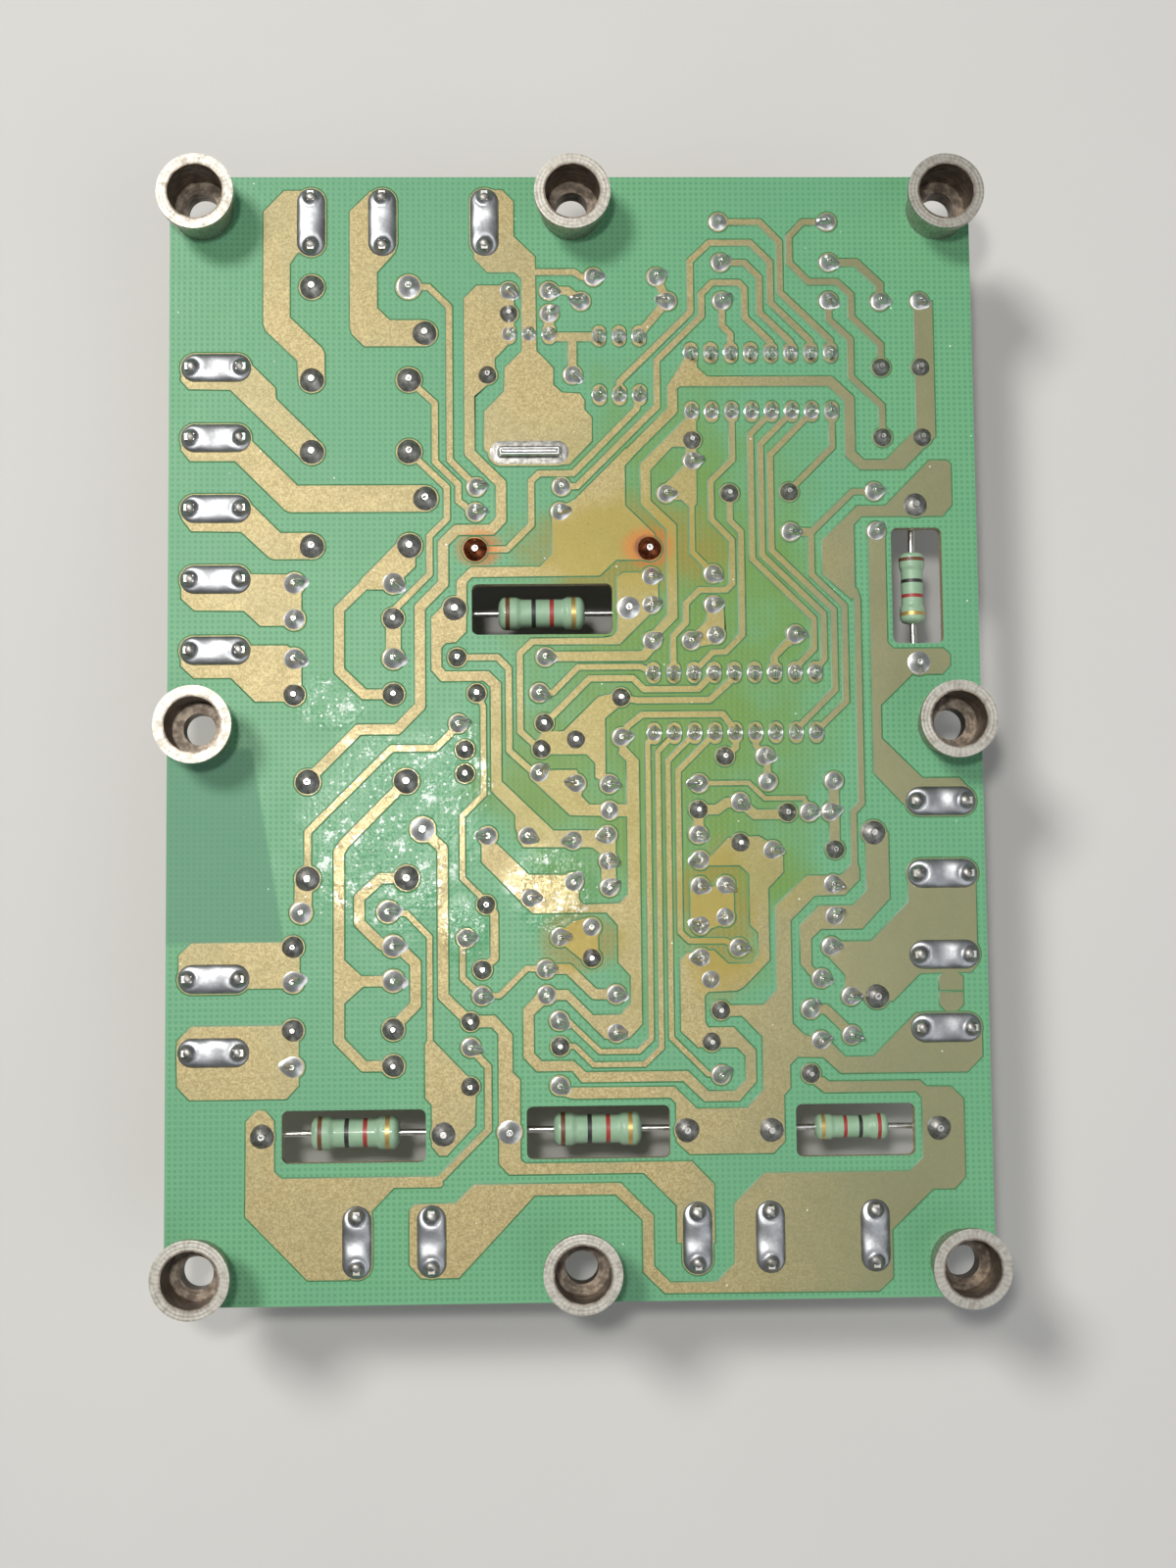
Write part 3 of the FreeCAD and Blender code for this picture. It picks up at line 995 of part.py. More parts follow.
def make_copper():
    """Tracks, areas and lands of the solder side, one solid per net, drilled with the board."""
    z = solder_face()
    pieces = [area_face(outline, z) for outline in POURS]
    pieces += pad_faces(z)
    for width, points in TRACKS:
        pieces += track_faces(width, points, z)
    drills = drill_cutters()
    solids = []
    for members in touching_groups(pieces):
        net = joined_faces(members)
        limits = net.BoundBox
        holes = [tool for tool in drills if limits.intersect(tool.BoundBox)]
        for face in (net.cut(holes) if holes else net).Faces:
            solids.append(face.extrude(Vector(0, 0, size("copper_thickness"))))
    node("copper_artwork", feature("copper", solids))


def make_solder():
    """Solder cones of the round leads and of the flat pins."""
    joints = [ring_joint(point, pad, lead) for point, pad, lead in PADS]
    bore = size("pin_width") / 2 + 0.05
    joints += [ring_joint(point, size("pin_pad_width") + 0.4, bore) for point in PIN_POINTS]
    node("solder_joints", feature("solder", joints))


def make_blade_solder():
    """Domed solder over each blade terminal's pair of legs and over the heatsink's tab."""
    z = copper_face()
    rise = size("solder_rise")
    gap = size("solder_gap")
    joints = []
    for point, lengthwise_x in BLADES:
        land = stadium_face(
            at(point), size("blade_pad_length") - 0.2, size("blade_pad_width") - 0.2, z, lengthwise_x
        )
        dome = land.extrude(Vector(0, 0, rise))
        top = [edge for edge in dome.Edges if edge.BoundBox.ZMin > z + rise / 2]
        dome = dome.makeFillet(rise * 0.7, top)
        leg = size("leg_width") + 2 * gap
        thick = size("blade_thickness") + 2 * gap
        length, width = (leg, thick) if lengthwise_x else (thick, leg)
        for centre in blade_legs(point, lengthwise_x):
            dome = dome.cut(Part.makeBox(length, width, 3, centre + Vector(-length / 2, -width / 2, z - 1)))
        joints.append(dome)
    ring = stadium_face(at(SINK_TAB), size("tab_width") + 2.6, size("sheet") + 2.2, z, True)
    tab = size("tab_width") + 2 * gap
    thick = size("sheet") + 2 * gap
    hole = Part.makeBox(tab, thick, 3, at(SINK_TAB, z - 1) - Vector(tab / 2, thick / 2, 0))
    joints.append(ring.extrude(Vector(0, 0, rise / 2)).cut(hole))
    node("blade_solder", feature("blade_joints", joints))


# ---------------------------------------------------------------------------------------------------
# Spacers and terminals
# ---------------------------------------------------------------------------------------------------
def make_spacers():
    """Flared, staked spacers with a screw hole in the floor."""
    top = f"({SOLDER_FACE} + Dims.spacer_rise)"
    profile = [
        ("Dims.screw_hole_radius", f"{COMPONENT_FACE} - Dims.spacer_stake_height"),
        ("Dims.spacer_stake_radius", f"{COMPONENT_FACE} - Dims.spacer_stake_height"),
        ("Dims.spacer_stake_radius", COMPONENT_FACE),
        ("Dims.spacer_shank_radius", COMPONENT_FACE),
        ("Dims.spacer_shank_radius", SOLDER_FACE),
        ("Dims.spacer_neck_radius", SOLDER_FACE),
        ("Dims.spacer_neck_radius", f"{top} - Dims.spacer_rim_height - Dims.spacer_flare"),
        ("Dims.spacer_rim_radius", f"{top} - Dims.spacer_rim_height"),
        ("Dims.spacer_rim_radius", top),
        ("Dims.spacer_bore_radius", top),
        ("Dims.spacer_bore_radius", f"{SOLDER_FACE} + Dims.spacer_floor"),
        ("Dims.screw_hole_radius", f"{SOLDER_FACE} + Dims.spacer_floor"),
    ]
    for name, x, y in spacer_places():
        spacer = revolved_body(f"{name}_body", profile)
        bind(spacer, {"Placement.Base.x": x, "Placement.Base.y": y})
        node(name, spacer)


def blade_terminal(name, point, lengthwise_x):
    """Flat push-on terminal: blade, shoulder resting on the board, and two legs through it."""
    x, y = along(point[0]), across(point[1])
    thick = "Dims.blade_thickness"

    def plate(part, offset, low, width, height):
        """One flat piece, offset along the terminal's width."""
        if lengthwise_x:
            return box(f"{name}_{part}", f"{x} + {offset}", y, low, width, thick, height)
        return box(f"{name}_{part}", x, f"{y} + {offset}", low, thick, width, height)

    shoulder_low = f"{COMPONENT_FACE} - Dims.shoulder_height"
    blade_low = f"{shoulder_low} - Dims.blade_height"
    leg_height = "Dims.board_thickness + Dims.lead_rise"
    pieces = [
        plate("blade", "0", blade_low, "Dims.blade_width", "Dims.blade_height"),
        plate("shoulder", "0", shoulder_low, "Dims.shoulder_width", "Dims.shoulder_height"),
        plate("leg_1", "-Dims.leg_pitch / 2", COMPONENT_FACE, "Dims.leg_width", leg_height),
        plate("leg_2", "Dims.leg_pitch / 2", COMPONENT_FACE, "Dims.leg_width", leg_height),
    ]
    hole = doc.addObject("Part::Cylinder", f"{name}_latch")
    bind(hole, {"Radius": "Dims.blade_hole_radius", "Height": "Dims.blade_thickness + 2"})
    turn = (Vector(1, 0, 0), -90) if lengthwise_x else (Vector(0, 1, 0), 90)
    hole.Placement.Rotation = Rotation(*turn)
    before = "(Dims.blade_thickness + 2) / 2"
    level = f"{blade_low} + Dims.blade_height / 2"
    if lengthwise_x:
        place(hole, x, f"{y} - {before}", level)
    else:
        place(hole, f"{x} - {before}", y, level)
    return cut(f"{name}_part", fuse(f"{name}_blank", pieces), hole)


def make_blades():
    rows = {"side": LEFT_BLADES + RIGHT_BLADES, "end": TOP_BLADES + BOTTOM_BLADES}
    for edge, points in rows.items():
        members = [
            blade_terminal(f"{edge}_blade_{number}", point, edge == "side")
            for number, point in enumerate(points, start=1)
        ]
        node(f"blade_terminals_{edge}", group(f"{edge}_blades", members))


# ---------------------------------------------------------------------------------------------------
# Relays. Depths are measured down from the component face.
# ---------------------------------------------------------------------------------------------------
RELAY_STACK = {
    "base_top": "(Dims.relay_foot + Dims.relay_base_height)",
    "foot_top": "(Dims.relay_foot + Dims.relay_base_height + Dims.relay_fit + Dims.yoke_foot_height)",
}
RELAY_STACK["winding_low"] = f"({RELAY_STACK['foot_top']} + Dims.relay_fit + Dims.bobbin_flange)"
RELAY_STACK["flange_top"] = f"({RELAY_STACK['winding_low']} + Dims.winding_height + Dims.bobbin_flange)"
RELAY_STACK["pole_face"] = f"({RELAY_STACK['flange_top']} + Dims.relay_fit + Dims.pole_height)"
RELAY_STACK["armature"] = f"({RELAY_STACK['pole_face']} + Dims.pole_gap)"
RELAY_STACK["spring"] = f"({RELAY_STACK['armature']} + Dims.armature_thickness)"
RELAY_STACK["contact_top"] = f"({RELAY_STACK['spring']} + Dims.spring_thickness + Dims.contact_height)"
COIL_MIDDLE = 8.6
HINGE_OFFSET = 14.9
RIVET_OFFSET = 0.3


class Relay:
    """One changeover relay: hinged armature over a coil, with a spring contact between two fixed ones."""

    def __init__(self, number, corner):
        self.name = f"relay_{number}"
        self.corner = corner
        self.x0 = along(corner[0])
        self.middle = f"({across(corner[1])} - Dims.coil_span / 2)"

    def x(self, offset):
        return f"{self.x0} + {offset}"

    def plate(self, part, x_middle, depth, length, width, height, y_shift="0"):
        """Box at a depth under the board; depth is that of the face nearer the board."""
        low = f"{COMPONENT_FACE} - ({depth}) - ({height})"
        y = f"{self.middle} + {y_shift}"
        return box(f"{self.name}_{part}_box", self.x(x_middle), y, low, length, width, height)

    def drum(self, part, x_middle, depth, radius, height, y_shift="0"):
        low = f"{COMPONENT_FACE} - ({depth}) - ({height})"
        y = f"{self.middle} + {y_shift}"
        return cylinder(f"{self.name}_{part}_drum", self.x(x_middle), y, low, radius, height)

    def cover(self):
        middle = "Dims.common_offset / 2"
        height = "Dims.component_height - Dims.relay_foot"
        shell = self.plate(
            "shell", middle, "Dims.relay_foot", "Dims.relay_length", "Dims.relay_width", height
        )
        hollow = self.plate(
            "hollow", middle, "Dims.relay_foot - 1", "Dims.relay_length - 2 * Dims.relay_wall",
            "Dims.relay_width - 2 * Dims.relay_wall", f"{height} - Dims.relay_wall + 1",
        )
        node(f"{self.name}_cover", cut(f"{self.name}_cover_cut", shell, hollow))

    def base(self):
        shrink = "2 * Dims.relay_wall - 2 * Dims.relay_fit"
        slab = self.plate(
            "slab", "Dims.common_offset / 2", "Dims.relay_foot", f"Dims.relay_length - {shrink}",
            f"Dims.relay_width - {shrink}", "Dims.relay_base_height",
        )
        holes = [
            self.drum(
                f"base_hole_{index}", offset, "-1", "Dims.heavy_lead_radius + 0.25", "6", y_shift=shift
            )
            for index, (offset, shift) in enumerate(self.pin_offsets())
        ]
        drilled = cut(f"{self.name}_base_cut", slab, group(f"{self.name}_base_holes", holes))
        node(f"{self.name}_base", drilled)

    @staticmethod
    def pin_offsets():
        """Plan offsets of the pins from the normally-open pin and from the relay's middle line."""
        side = "Dims.coil_span / 2"
        return [
            ("0", side), ("0", f"-{side}"), ("Dims.coil_offset", side), ("Dims.coil_offset", f"-{side}"),
            ("Dims.common_offset", "0"),
        ]

    def coil(self):
        stack = RELAY_STACK
        flange = "2 * Dims.bobbin_half"
        low_flange = self.plate(
            "low_flange", COIL_MIDDLE, f"{stack['winding_low']} - Dims.bobbin_flange", flange, flange,
            "Dims.bobbin_flange",
        )
        high_flange = self.plate(
            "high_flange", COIL_MIDDLE, f"{stack['winding_low']} + Dims.winding_height", flange, flange,
            "Dims.bobbin_flange",
        )
        hub = self.drum(
            "hub", COIL_MIDDLE, stack["winding_low"], "Dims.bobbin_hub_radius", "Dims.winding_height"
        )
        bore = self.drum(
            "bobbin_bore", COIL_MIDDLE, "0", "Dims.core_radius + Dims.relay_fit", "Dims.component_height"
        )
        spool = fuse(f"{self.name}_spool", [low_flange, hub, high_flange])
        node(f"{self.name}_bobbin", cut(f"{self.name}_bobbin_cut", spool, bore))
        wire = self.drum(
            "wire", COIL_MIDDLE, f"{stack['winding_low']} + Dims.relay_fit", "Dims.winding_radius",
            "Dims.winding_height - 2 * Dims.relay_fit",
        )
        eye = self.drum(
            "wire_eye", COIL_MIDDLE, "0", "Dims.bobbin_hub_radius + Dims.relay_fit", "Dims.component_height"
        )
        node(f"{self.name}_winding", cut(f"{self.name}_winding_cut", wire, eye))

    def magnet(self):
        """Yoke and core riveted into one frame."""
        stack = RELAY_STACK
        foot_depth = f"{stack['base_top']} + Dims.relay_fit"
        riser_middle = HINGE_OFFSET
        foot_start = 3.0
        foot_length = f"{riser_middle - foot_start} + Dims.yoke_thickness / 2"
        foot = self.plate(
            "foot", f"{foot_start} + ({foot_length}) / 2", foot_depth, foot_length, "2 * Dims.yoke_half",
            "Dims.yoke_foot_height",
        )
        riser = self.plate(
            "riser", riser_middle, foot_depth, "Dims.yoke_thickness", "2 * Dims.yoke_half",
            f"{stack['armature']} - Dims.hinge_gap - ({foot_depth})",
        )
        core = self.drum(
            "core", COIL_MIDDLE, stack["foot_top"], "Dims.core_radius",
            f"{stack['pole_face']} - {stack['foot_top']}",
        )
        pole = self.drum(
            "pole", COIL_MIDDLE, f"{stack['pole_face']} - Dims.pole_height", "Dims.pole_radius",
            "Dims.pole_height",
        )
        node(f"{self.name}_yoke", fuse(f"{self.name}_yoke_fuse", [foot, riser, core, pole]))

    def terminals(self):
        """Five pins; the two contact pins carry the fixed contacts on arms."""
        stack = RELAY_STACK
        tip = "-(Dims.board_thickness + Dims.lead_rise)"
        members = []
        levels = ("base_top", "base_top", "foot_top", "foot_top", "base_top")
        depths = [stack[level] for level in levels]
        for index, ((offset, shift), depth) in enumerate(zip(self.pin_offsets(), depths)):
            fit = "" if index < 4 else " + Dims.relay_fit"
            height = f"{depth}{fit} + Dims.board_thickness + Dims.lead_rise"
            members.append(
                self.drum(f"pin_{index}", offset, tip, "Dims.heavy_lead_radius", height, y_shift=shift)
            )
        rest = f"({stack['contact_top']} + Dims.contact_rest_gap)"
        make_face = f"({stack['spring']} - Dims.contact_height - Dims.contact_gap)"
        closed = self.fixed_contact("closed", "-1", rest, f"{rest} + Dims.contact_height")
        opened = self.fixed_contact(
            "open", "1", f"{make_face} - Dims.contact_height",
            f"{make_face} - Dims.contact_height - Dims.contact_arm_height",
        )
        members[0] = fuse(f"{self.name}_open_contact", [members[0], *opened])
        members[1] = fuse(f"{self.name}_closed_contact", [members[1], *closed])
        node(f"{self.name}_terminals", group(f"{self.name}_terminal_set", members))

    def fixed_contact(self, part, side, button_depth, arm_depth):
        """Riser on one contact pin, an arm over the middle line, and the contact button."""
        arm = "Dims.contact_arm_height"
        riser_width = 2.0
        riser_depth = RELAY_STACK["base_top"]
        riser = self.plate(
            f"{part}_riser", "0", riser_depth, f"{riser_width}", "0.5",
            f"{arm_depth} + {arm} - ({riser_depth})",
            y_shift=f"{side} * Dims.coil_span / 2",
        )
        reach = "Dims.coil_span / 2 + Dims.contact_radius + 0.25"
        bridge = self.plate(
            f"{part}_arm", RIVET_OFFSET, arm_depth, f"{riser_width} + 0.6", reach, arm,
            y_shift=f"{side} * (Dims.coil_span / 2 + 0.25 - ({reach}) / 2)",
        )
        button = self.drum(
            f"{part}_button", RIVET_OFFSET, button_depth, "Dims.contact_radius", "Dims.contact_height"
        )
        return [riser, bridge, button]

    def armature(self):
        reach = HINGE_OFFSET - 3.5
        length = f"{reach} + Dims.yoke_thickness / 2"
        plate = self.plate(
            "armature", f"3.5 + ({length}) / 2", RELAY_STACK["armature"], length, "2 * Dims.armature_half",
            "Dims.armature_thickness",
        )
        plate.Label = f"{self.name}_armature"
        nodes.append(plate)
        strip_start = RIVET_OFFSET - 1.5
        strip_length = HINGE_OFFSET - strip_start - 0.5
        strip = self.plate(
            "strip", strip_start + strip_length / 2, RELAY_STACK["spring"], f"{strip_length}",
            "2 * Dims.spring_half", "Dims.spring_thickness",
        )
        rivet = self.drum(
            "rivet", RIVET_OFFSET, f"{RELAY_STACK['spring']} - Dims.contact_height", "Dims.contact_radius",
            "2 * Dims.contact_height + Dims.spring_thickness",
        )
        node(f"{self.name}_contact_spring", fuse(f"{self.name}_spring_fuse", [strip, rivet]))

    def build(self):
        self.cover()
        self.base()
        self.coil()
        self.magnet()
        self.terminals()
        self.armature()


# ---------------------------------------------------------------------------------------------------
# Regulator and heatsink
# ---------------------------------------------------------------------------------------------------
def make_regulator():
    x = along(REGULATOR[1][0])
    y_leads = across(REGULATOR[1][1])
    back = f"({y_leads} - Dims.regulator_lead_back)"
    screw_level = f"{COMPONENT_FACE} - Dims.regulator_lift - Dims.screw_drop"
    plastic_thickness = "Dims.regulator_thickness - Dims.regulator_tab"
    plastic = box(
        "regulator_plastic", x, f"{back} + Dims.regulator_tab + ({plastic_thickness}) / 2",
        f"{COMPONENT_FACE} - Dims.regulator_lift - Dims.regulator_body_height", "Dims.regulator_width",
        plastic_thickness, "Dims.regulator_body_height",
    )
    node("regulator_body", group("regulator_case", [plastic]))
    tab = box(
        "regulator_plate", x, f"{back} + Dims.regulator_tab / 2",
        f"{COMPONENT_FACE} - Dims.regulator_lift - Dims.regulator_height", "Dims.regulator_width",
        "Dims.regulator_tab", "Dims.regulator_height",
    )
    hole = across_cylinder("regulator_hole", x, f"{back} - 1", screw_level, "Dims.screw_radius + 0.2", "5")
    plate = cut("regulator_tab_cut", tab, hole)
    leads = [
        box(
            f"regulator_lead_{number}", along(point[0]), y_leads,
            f"{COMPONENT_FACE} - Dims.regulator_lift", "Dims.pin_width", "Dims.pin_width",
            "Dims.regulator_lift + Dims.board_thickness + Dims.lead_rise",
        )
        for number, point in enumerate(REGULATOR, start=1)
    ]
    node("regulator_frame", group("regulator_metal", [plate, *leads]))

    near = f"({back} - Dims.sheet / 2)"
    far = across(SINK_TAB[1])
    tall = f"{COMPONENT_FACE} - Dims.sink_lift"
    wall = box("sink_near", x, near, "0", "Dims.sink_width", "Dims.sheet", tall)
    web_width = f"({near}) - ({far}) + Dims.sheet"
    web = box("sink_web", x, f"(({near}) + ({far})) / 2", "0", "Dims.sink_width", web_width, "Dims.sheet")
    outer = box("sink_far", x, far, "0", "Dims.sink_width", "Dims.sheet", f"{COMPONENT_FACE} - 0.4")
    tongue = box(
        "sink_tongue", along(SINK_TAB[0]), far, f"{COMPONENT_FACE} - 0.5", "Dims.tab_width", "Dims.sheet",
        "Dims.board_thickness + Dims.lead_rise + 0.4",
    )
    blank = fuse("sink_blank", [wall, web, outer, tongue])
    passage = across_cylinder("sink_hole", x, f"{back} - 2", screw_level, "Dims.screw_radius + 0.2", "4")
    node("heatsink", cut("sink_cut", blank, passage))

    head_front = f"{back} + Dims.regulator_tab"
    shank = across_cylinder(
        "screw_shank", x, f"{back} - Dims.sheet - Dims.nut_height - 0.5", screw_level, "Dims.screw_radius",
        "Dims.sheet + Dims.nut_height + Dims.regulator_tab + 0.5",
    )
    head = across_cylinder(
        "screw_head", x, head_front, screw_level, "Dims.screw_head_radius", "Dims.screw_head_height"
    )
    node("regulator_screw", fuse("screw_fuse", [shank, head]))
    prism = doc.addObject("Part::Prism", "nut_prism")
    prism.Polygon = 6
    bind(prism, {"Circumradius": "Dims.screw_radius * 2.1", "Height": "Dims.nut_height"})
    prism.Placement.Rotation = Rotation(Vector(1, 0, 0), -90)
    place(prism, x, f"{back} - Dims.sheet - Dims.nut_height", screw_level)
    thread = across_cylinder(
        "nut_bore", x, f"{back} - Dims.sheet - Dims.nut_height - 1", screw_level,
        "Dims.screw_radius + Dims.solder_gap", "Dims.nut_height + 2",
    )
    node("regulator_nut", cut("nut_cut", prism, thread))


def across_cylinder(name, x, low_y, z, radius, height):
    """A cylinder that lies along +Y."""
    obj = doc.addObject("Part::Cylinder", name)
    obj.Placement.Rotation = Rotation(Vector(1, 0, 0), -90)
    bind(obj, {"Radius": radius, "Height": height})
    return place(obj, x, low_y, z)


# ---------------------------------------------------------------------------------------------------
# Integrated circuits
# ---------------------------------------------------------------------------------------------------
def make_ics():
    pins = []
    for name, (first, count) in DIP_PACKAGES.items():
        x = f"({along(first[0])} + {count - 1} * Dims.pin_pitch / 2)"
        y = f"({across(first[1])} - Dims.row_pitch / 2)"
        body = box(
            f"{name}_block", x, y, f"{COMPONENT_FACE} - Dims.ic_foot - Dims.ic_height",
            f"{count - 1} * Dims.pin_pitch + 2 * Dims.ic_overhang", "Dims.ic_width", "Dims.ic_height",
        )
        notch = cylinder(
            f"{name}_notch", f"{x} - {count - 1} * Dims.pin_pitch / 2 - Dims.ic_overhang", y,
            f"{COMPONENT_FACE} - Dims.ic_foot - Dims.ic_height - 1", "1.1", "1.5",
        )
        node(f"{name}_body", cut(f"{name}_cut", body, notch))
        numbered = enumerate(dip_pins(first, count))
        pins += [ic_pin(pin, 1 if index < count else -1) for index, pin in numbered]
    node("ic_pins", feature("ic_pin_set", pins))


def ic_pin(point, outward):
    """Pin bent from the side of the package down to the board and through it."""
    exit_level = component_face() - size("ic_foot") - size("ic_height") / 2
    thick = size("pin_thickness")
    wide = size("pin_shoulder")
    thin = size("pin_width")
    place_of = at(point)
    run = (size("row_pitch") - size("ic_width")) / 2
    arm = Part.makeBox(wide, run + thick / 2, thick, Vector(-wide / 2, -run, exit_level - thick / 2))
    shoulder_height = component_face() - 0.3 - exit_level + thick / 2
    corner = Vector(-wide / 2, -thick / 2, exit_level - thick / 2)
    shoulder = Part.makeBox(wide, thick, shoulder_height, corner)
    stem_height = solder_face() + size("lead_rise") - exit_level
    stem = Part.makeBox(thin, thick, stem_height, Vector(-thin / 2, -thick / 2, exit_level))
    pin = arm.fuse([shoulder, stem]).removeSplitter()
    turn = Rotation(Vector(0, 0, 1), 0 if outward > 0 else 180)
    pin.Placement = Placement(place_of, turn)
    return pin


# ---------------------------------------------------------------------------------------------------
# Axial and radial parts
# ---------------------------------------------------------------------------------------------------
def dog_bone(length, radius):
    """Profile of a coated resistor with fatter ends."""
    waist = radius * 0.88
    cap = length * 0.2
    half = length / 2
    return [
        (-half, 0.0), (-half, radius * 0.45), (-half + 0.5, radius * 0.9), (-half + 0.9, radius),
        (-half + cap, radius), (-half + cap + 0.6, waist), (half - cap - 0.6, waist), (half - cap, radius),
        (half - 0.9, radius), (half - 0.5, radius * 0.9), (half, radius * 0.45), (half, 0.0),
    ]


def barrel(length, radius):
    """Profile of a moulded diode."""
    half = length / 2
    lip = 0.2
    return [
        (-half, 0.0), (-half, radius - lip), (-half + lip, radius), (half - lip, radius), (half, radius - lip),
        (half, 0.0),
    ]


def axial_part(first, last, profile, radius, length, lead):
    """Body lying just under the board between two pads, and its two bent leads."""
    depth = component_face() - size("body_lift") - radius
    start, end = at(first, depth), at(last, depth)
    middle = (start + end) * 0.5
    direction = (end - start).normalize()
    body = turned(profile, middle, direction)
    tip = solder_face() + size("lead_rise")
    bend = max(lead * 2, min(1.0, radius * 0.8))
    leads = []
    for pad, sign in ((start, -1), (end, 1)):
        root = middle + direction * (sign * length / 2)
        leads.append(bent_wire([Vector(pad.x, pad.y, tip), pad, root], lead, bend))
    return body, leads


def make_axials():
    thin = size("lead_radius")
    heavy = size("heavy_lead_radius")
    kinds = {
        "power_resistors": [
            *[(pair[:2], dog_bone, "power_radius", "power_length", heavy) for pair in POWER_RESISTORS],
            *[
                (pair[:2], dog_bone, "small_power_radius", "small_power_length", heavy)
                for pair in SMALL_POWER_RESISTORS
            ],
        ],
        "dropper_resistor": [(HOT_RESISTOR, dog_bone, "hot_radius", "hot_length", heavy)],
        "small_resistors": [
            (pair, dog_bone, "resistor_radius", "resistor_length", thin) for pair in RESISTORS
        ],
        "diodes": [(pair, barrel, "diode_radius", "diode_length", thin) for pair in DIODES],
    }
    wires = []
    for label, members in kinds.items():
        bodies = []
        for (first, last), outline, radius, length, lead in members:
            body, leads = axial_part(
                first, last, outline(size(length), size(radius)), size(radius), size(length), lead
            )
            bodies.append(body)
            wires += leads
        node(label, feature(f"{label}_set", bodies))
    node("axial_leads", feature("axial_lead_set", wires))


def straight_lead(point, radius, depth):
    """Lead from a depth under the board to just over its solder joint."""
    tip = solder_face() + size("lead_rise")
    low = component_face() - depth
    return Part.makeCylinder(radius, tip - low, at(point, low))


def make_radials():
    thin = size("lead_radius")
    foot = size("can_foot")
    leads = []
    cans = []
    for first, last, radius, height in CANS:
        middle = (at(first) + at(last)) * 0.5
        low = component_face() - foot - size(height)
        can = Part.makeCylinder(radius, size(height), Vector(middle.x, middle.y, low))
        cans.append(can.makeFillet(0.5, [edge for edge in can.Edges if edge.BoundBox.ZMax < low + 0.01]))
        leads += [straight_lead(end, thin, foot) for end in (first, last)]
    node("electrolytic_capacitors", feature("can_set", cans))

    films = [radial_block(pair, "film_length", "film_width", "film_height") for pair in FILM_CAPACITORS]
    node("film_capacitors", feature("film_set", films))
    leads += [straight_lead(end, thin, foot) for pair in FILM_CAPACITORS for end in pair]

    discs = []
    for first, last in DISC_CAPACITORS:
        middle = (at(first) + at(last)) * 0.5
        radius, thick = size("disc_radius"), size("disc_thickness")
        centre = Vector(middle.x, middle.y - thick / 2, component_face() - foot - radius)
        discs.append(Part.makeCylinder(radius, thick, centre, Vector(0, 1, 0)))
        leads += [straight_lead(end, thin, foot + size("disc_radius") * 0.45) for end in (first, last)]
    node("disc_capacitors", feature("disc_set", [cut_by(disc, leads) for disc in discs]))

    lenses = []
    for first, last in LEDS:
        middle = (at(first) + at(last)) * 0.5
        lenses.append(led_lens(Vector(middle.x, middle.y, component_face() - foot)))
        leads += [straight_lead(end, thin, foot) for end in (first, last)]
    node("status_leds", feature("led_set", lenses))

    middle = at(RESONATOR[1])
    low = component_face() - foot - size("resonator_height")
    block = Part.makeBox(
        size("resonator_length"), size("resonator_width"), size("resonator_height"),
        Vector(middle.x - size("resonator_length") / 2, middle.y - size("resonator_width") / 2, low),
    )
    node("resonator", feature("resonator_case", [block.makeFillet(0.8, upright_edges(block))]))
    leads += [straight_lead(end, thin, foot) for end in RESONATOR]
    leads += line_capacitor_leads()
    node("radial_leads", feature("radial_lead_set", leads))


def upright_edges(solid):
    return [edge for edge in solid.Edges if edge.BoundBox.ZLength > 1.0]


def cut_by(solid, tools):
    near = [tool for tool in tools if solid.BoundBox.intersect(tool.BoundBox)]
    return solid.cut(near) if near else solid


def radial_block(pair, length, width, height):
    """Boxed capacitor over two pads, lengthwise along the line through them."""
    first, last = at(pair[0]), at(pair[1])
    middle = (first + last) * 0.5
    angle = math.degrees(math.atan2(last.y - first.y, last.x - first.x))
    long, wide, tall = size(length), size(width), size(height)
    block = Part.makeBox(long, wide, tall, Vector(-long / 2, -wide / 2, 0))
    block = block.makeFillet(0.4, upright_edges(block))
    low = component_face() - size("can_foot") - tall
    block.Placement = Placement(Vector(middle.x, middle.y, low), Rotation(Vector(0, 0, 1), angle))
    return block


def led_lens(seat):
    """Round lens with its collar against the board and its dome away from it."""
    radius = size("led_radius")
    tall = size("led_height")
    collar = Part.makeCylinder(size("led_flange"), 1.0, seat - Vector(0, 0, 1.0))
    barrel_part = Part.makeCylinder(radius, tall - radius, seat - Vector(0, 0, tall - radius))
    dome = Part.makeSphere(radius, seat - Vector(0, 0, tall - radius))
    return collar.fuse([barrel_part, dome]).removeSplitter()


def make_line_capacitor():
    """Tall boxed capacitor."""
    (x, y_high), (_, y_low) = LINE_CAPACITOR
    case = box(
        "line_case", along(x), across((y_high + y_low) / 2), "0",
        "Dims.line_cap_width", "Dims.line_cap_length", f"{COMPONENT_FACE} - Dims.line_cap_foot",
    )
    node("line_capacitor", group("line_capacitor_case", [case]))


def line_capacitor_leads():
    """Formed leads from both ends of the tall capacitor's box."""
    (x, y_high), (_, y_low) = LINE_CAPACITOR
    middle = at((x, (y_high + y_low) / 2))
    heavy = size("heavy_lead_radius")
    depth = component_face() - 3.0
    tip = solder_face() + size("lead_rise")
    wires = []
    for end, sign in ((LINE_CAPACITOR[0], 1), (LINE_CAPACITOR[1], -1)):
        pad = at(end, depth)
        root = Vector(pad.x, middle.y + sign * size("line_cap_length") / 2, depth)
        wires.append(bent_wire([Vector(pad.x, pad.y, tip), pad, root], heavy, heavy * 1.5))
    return wires


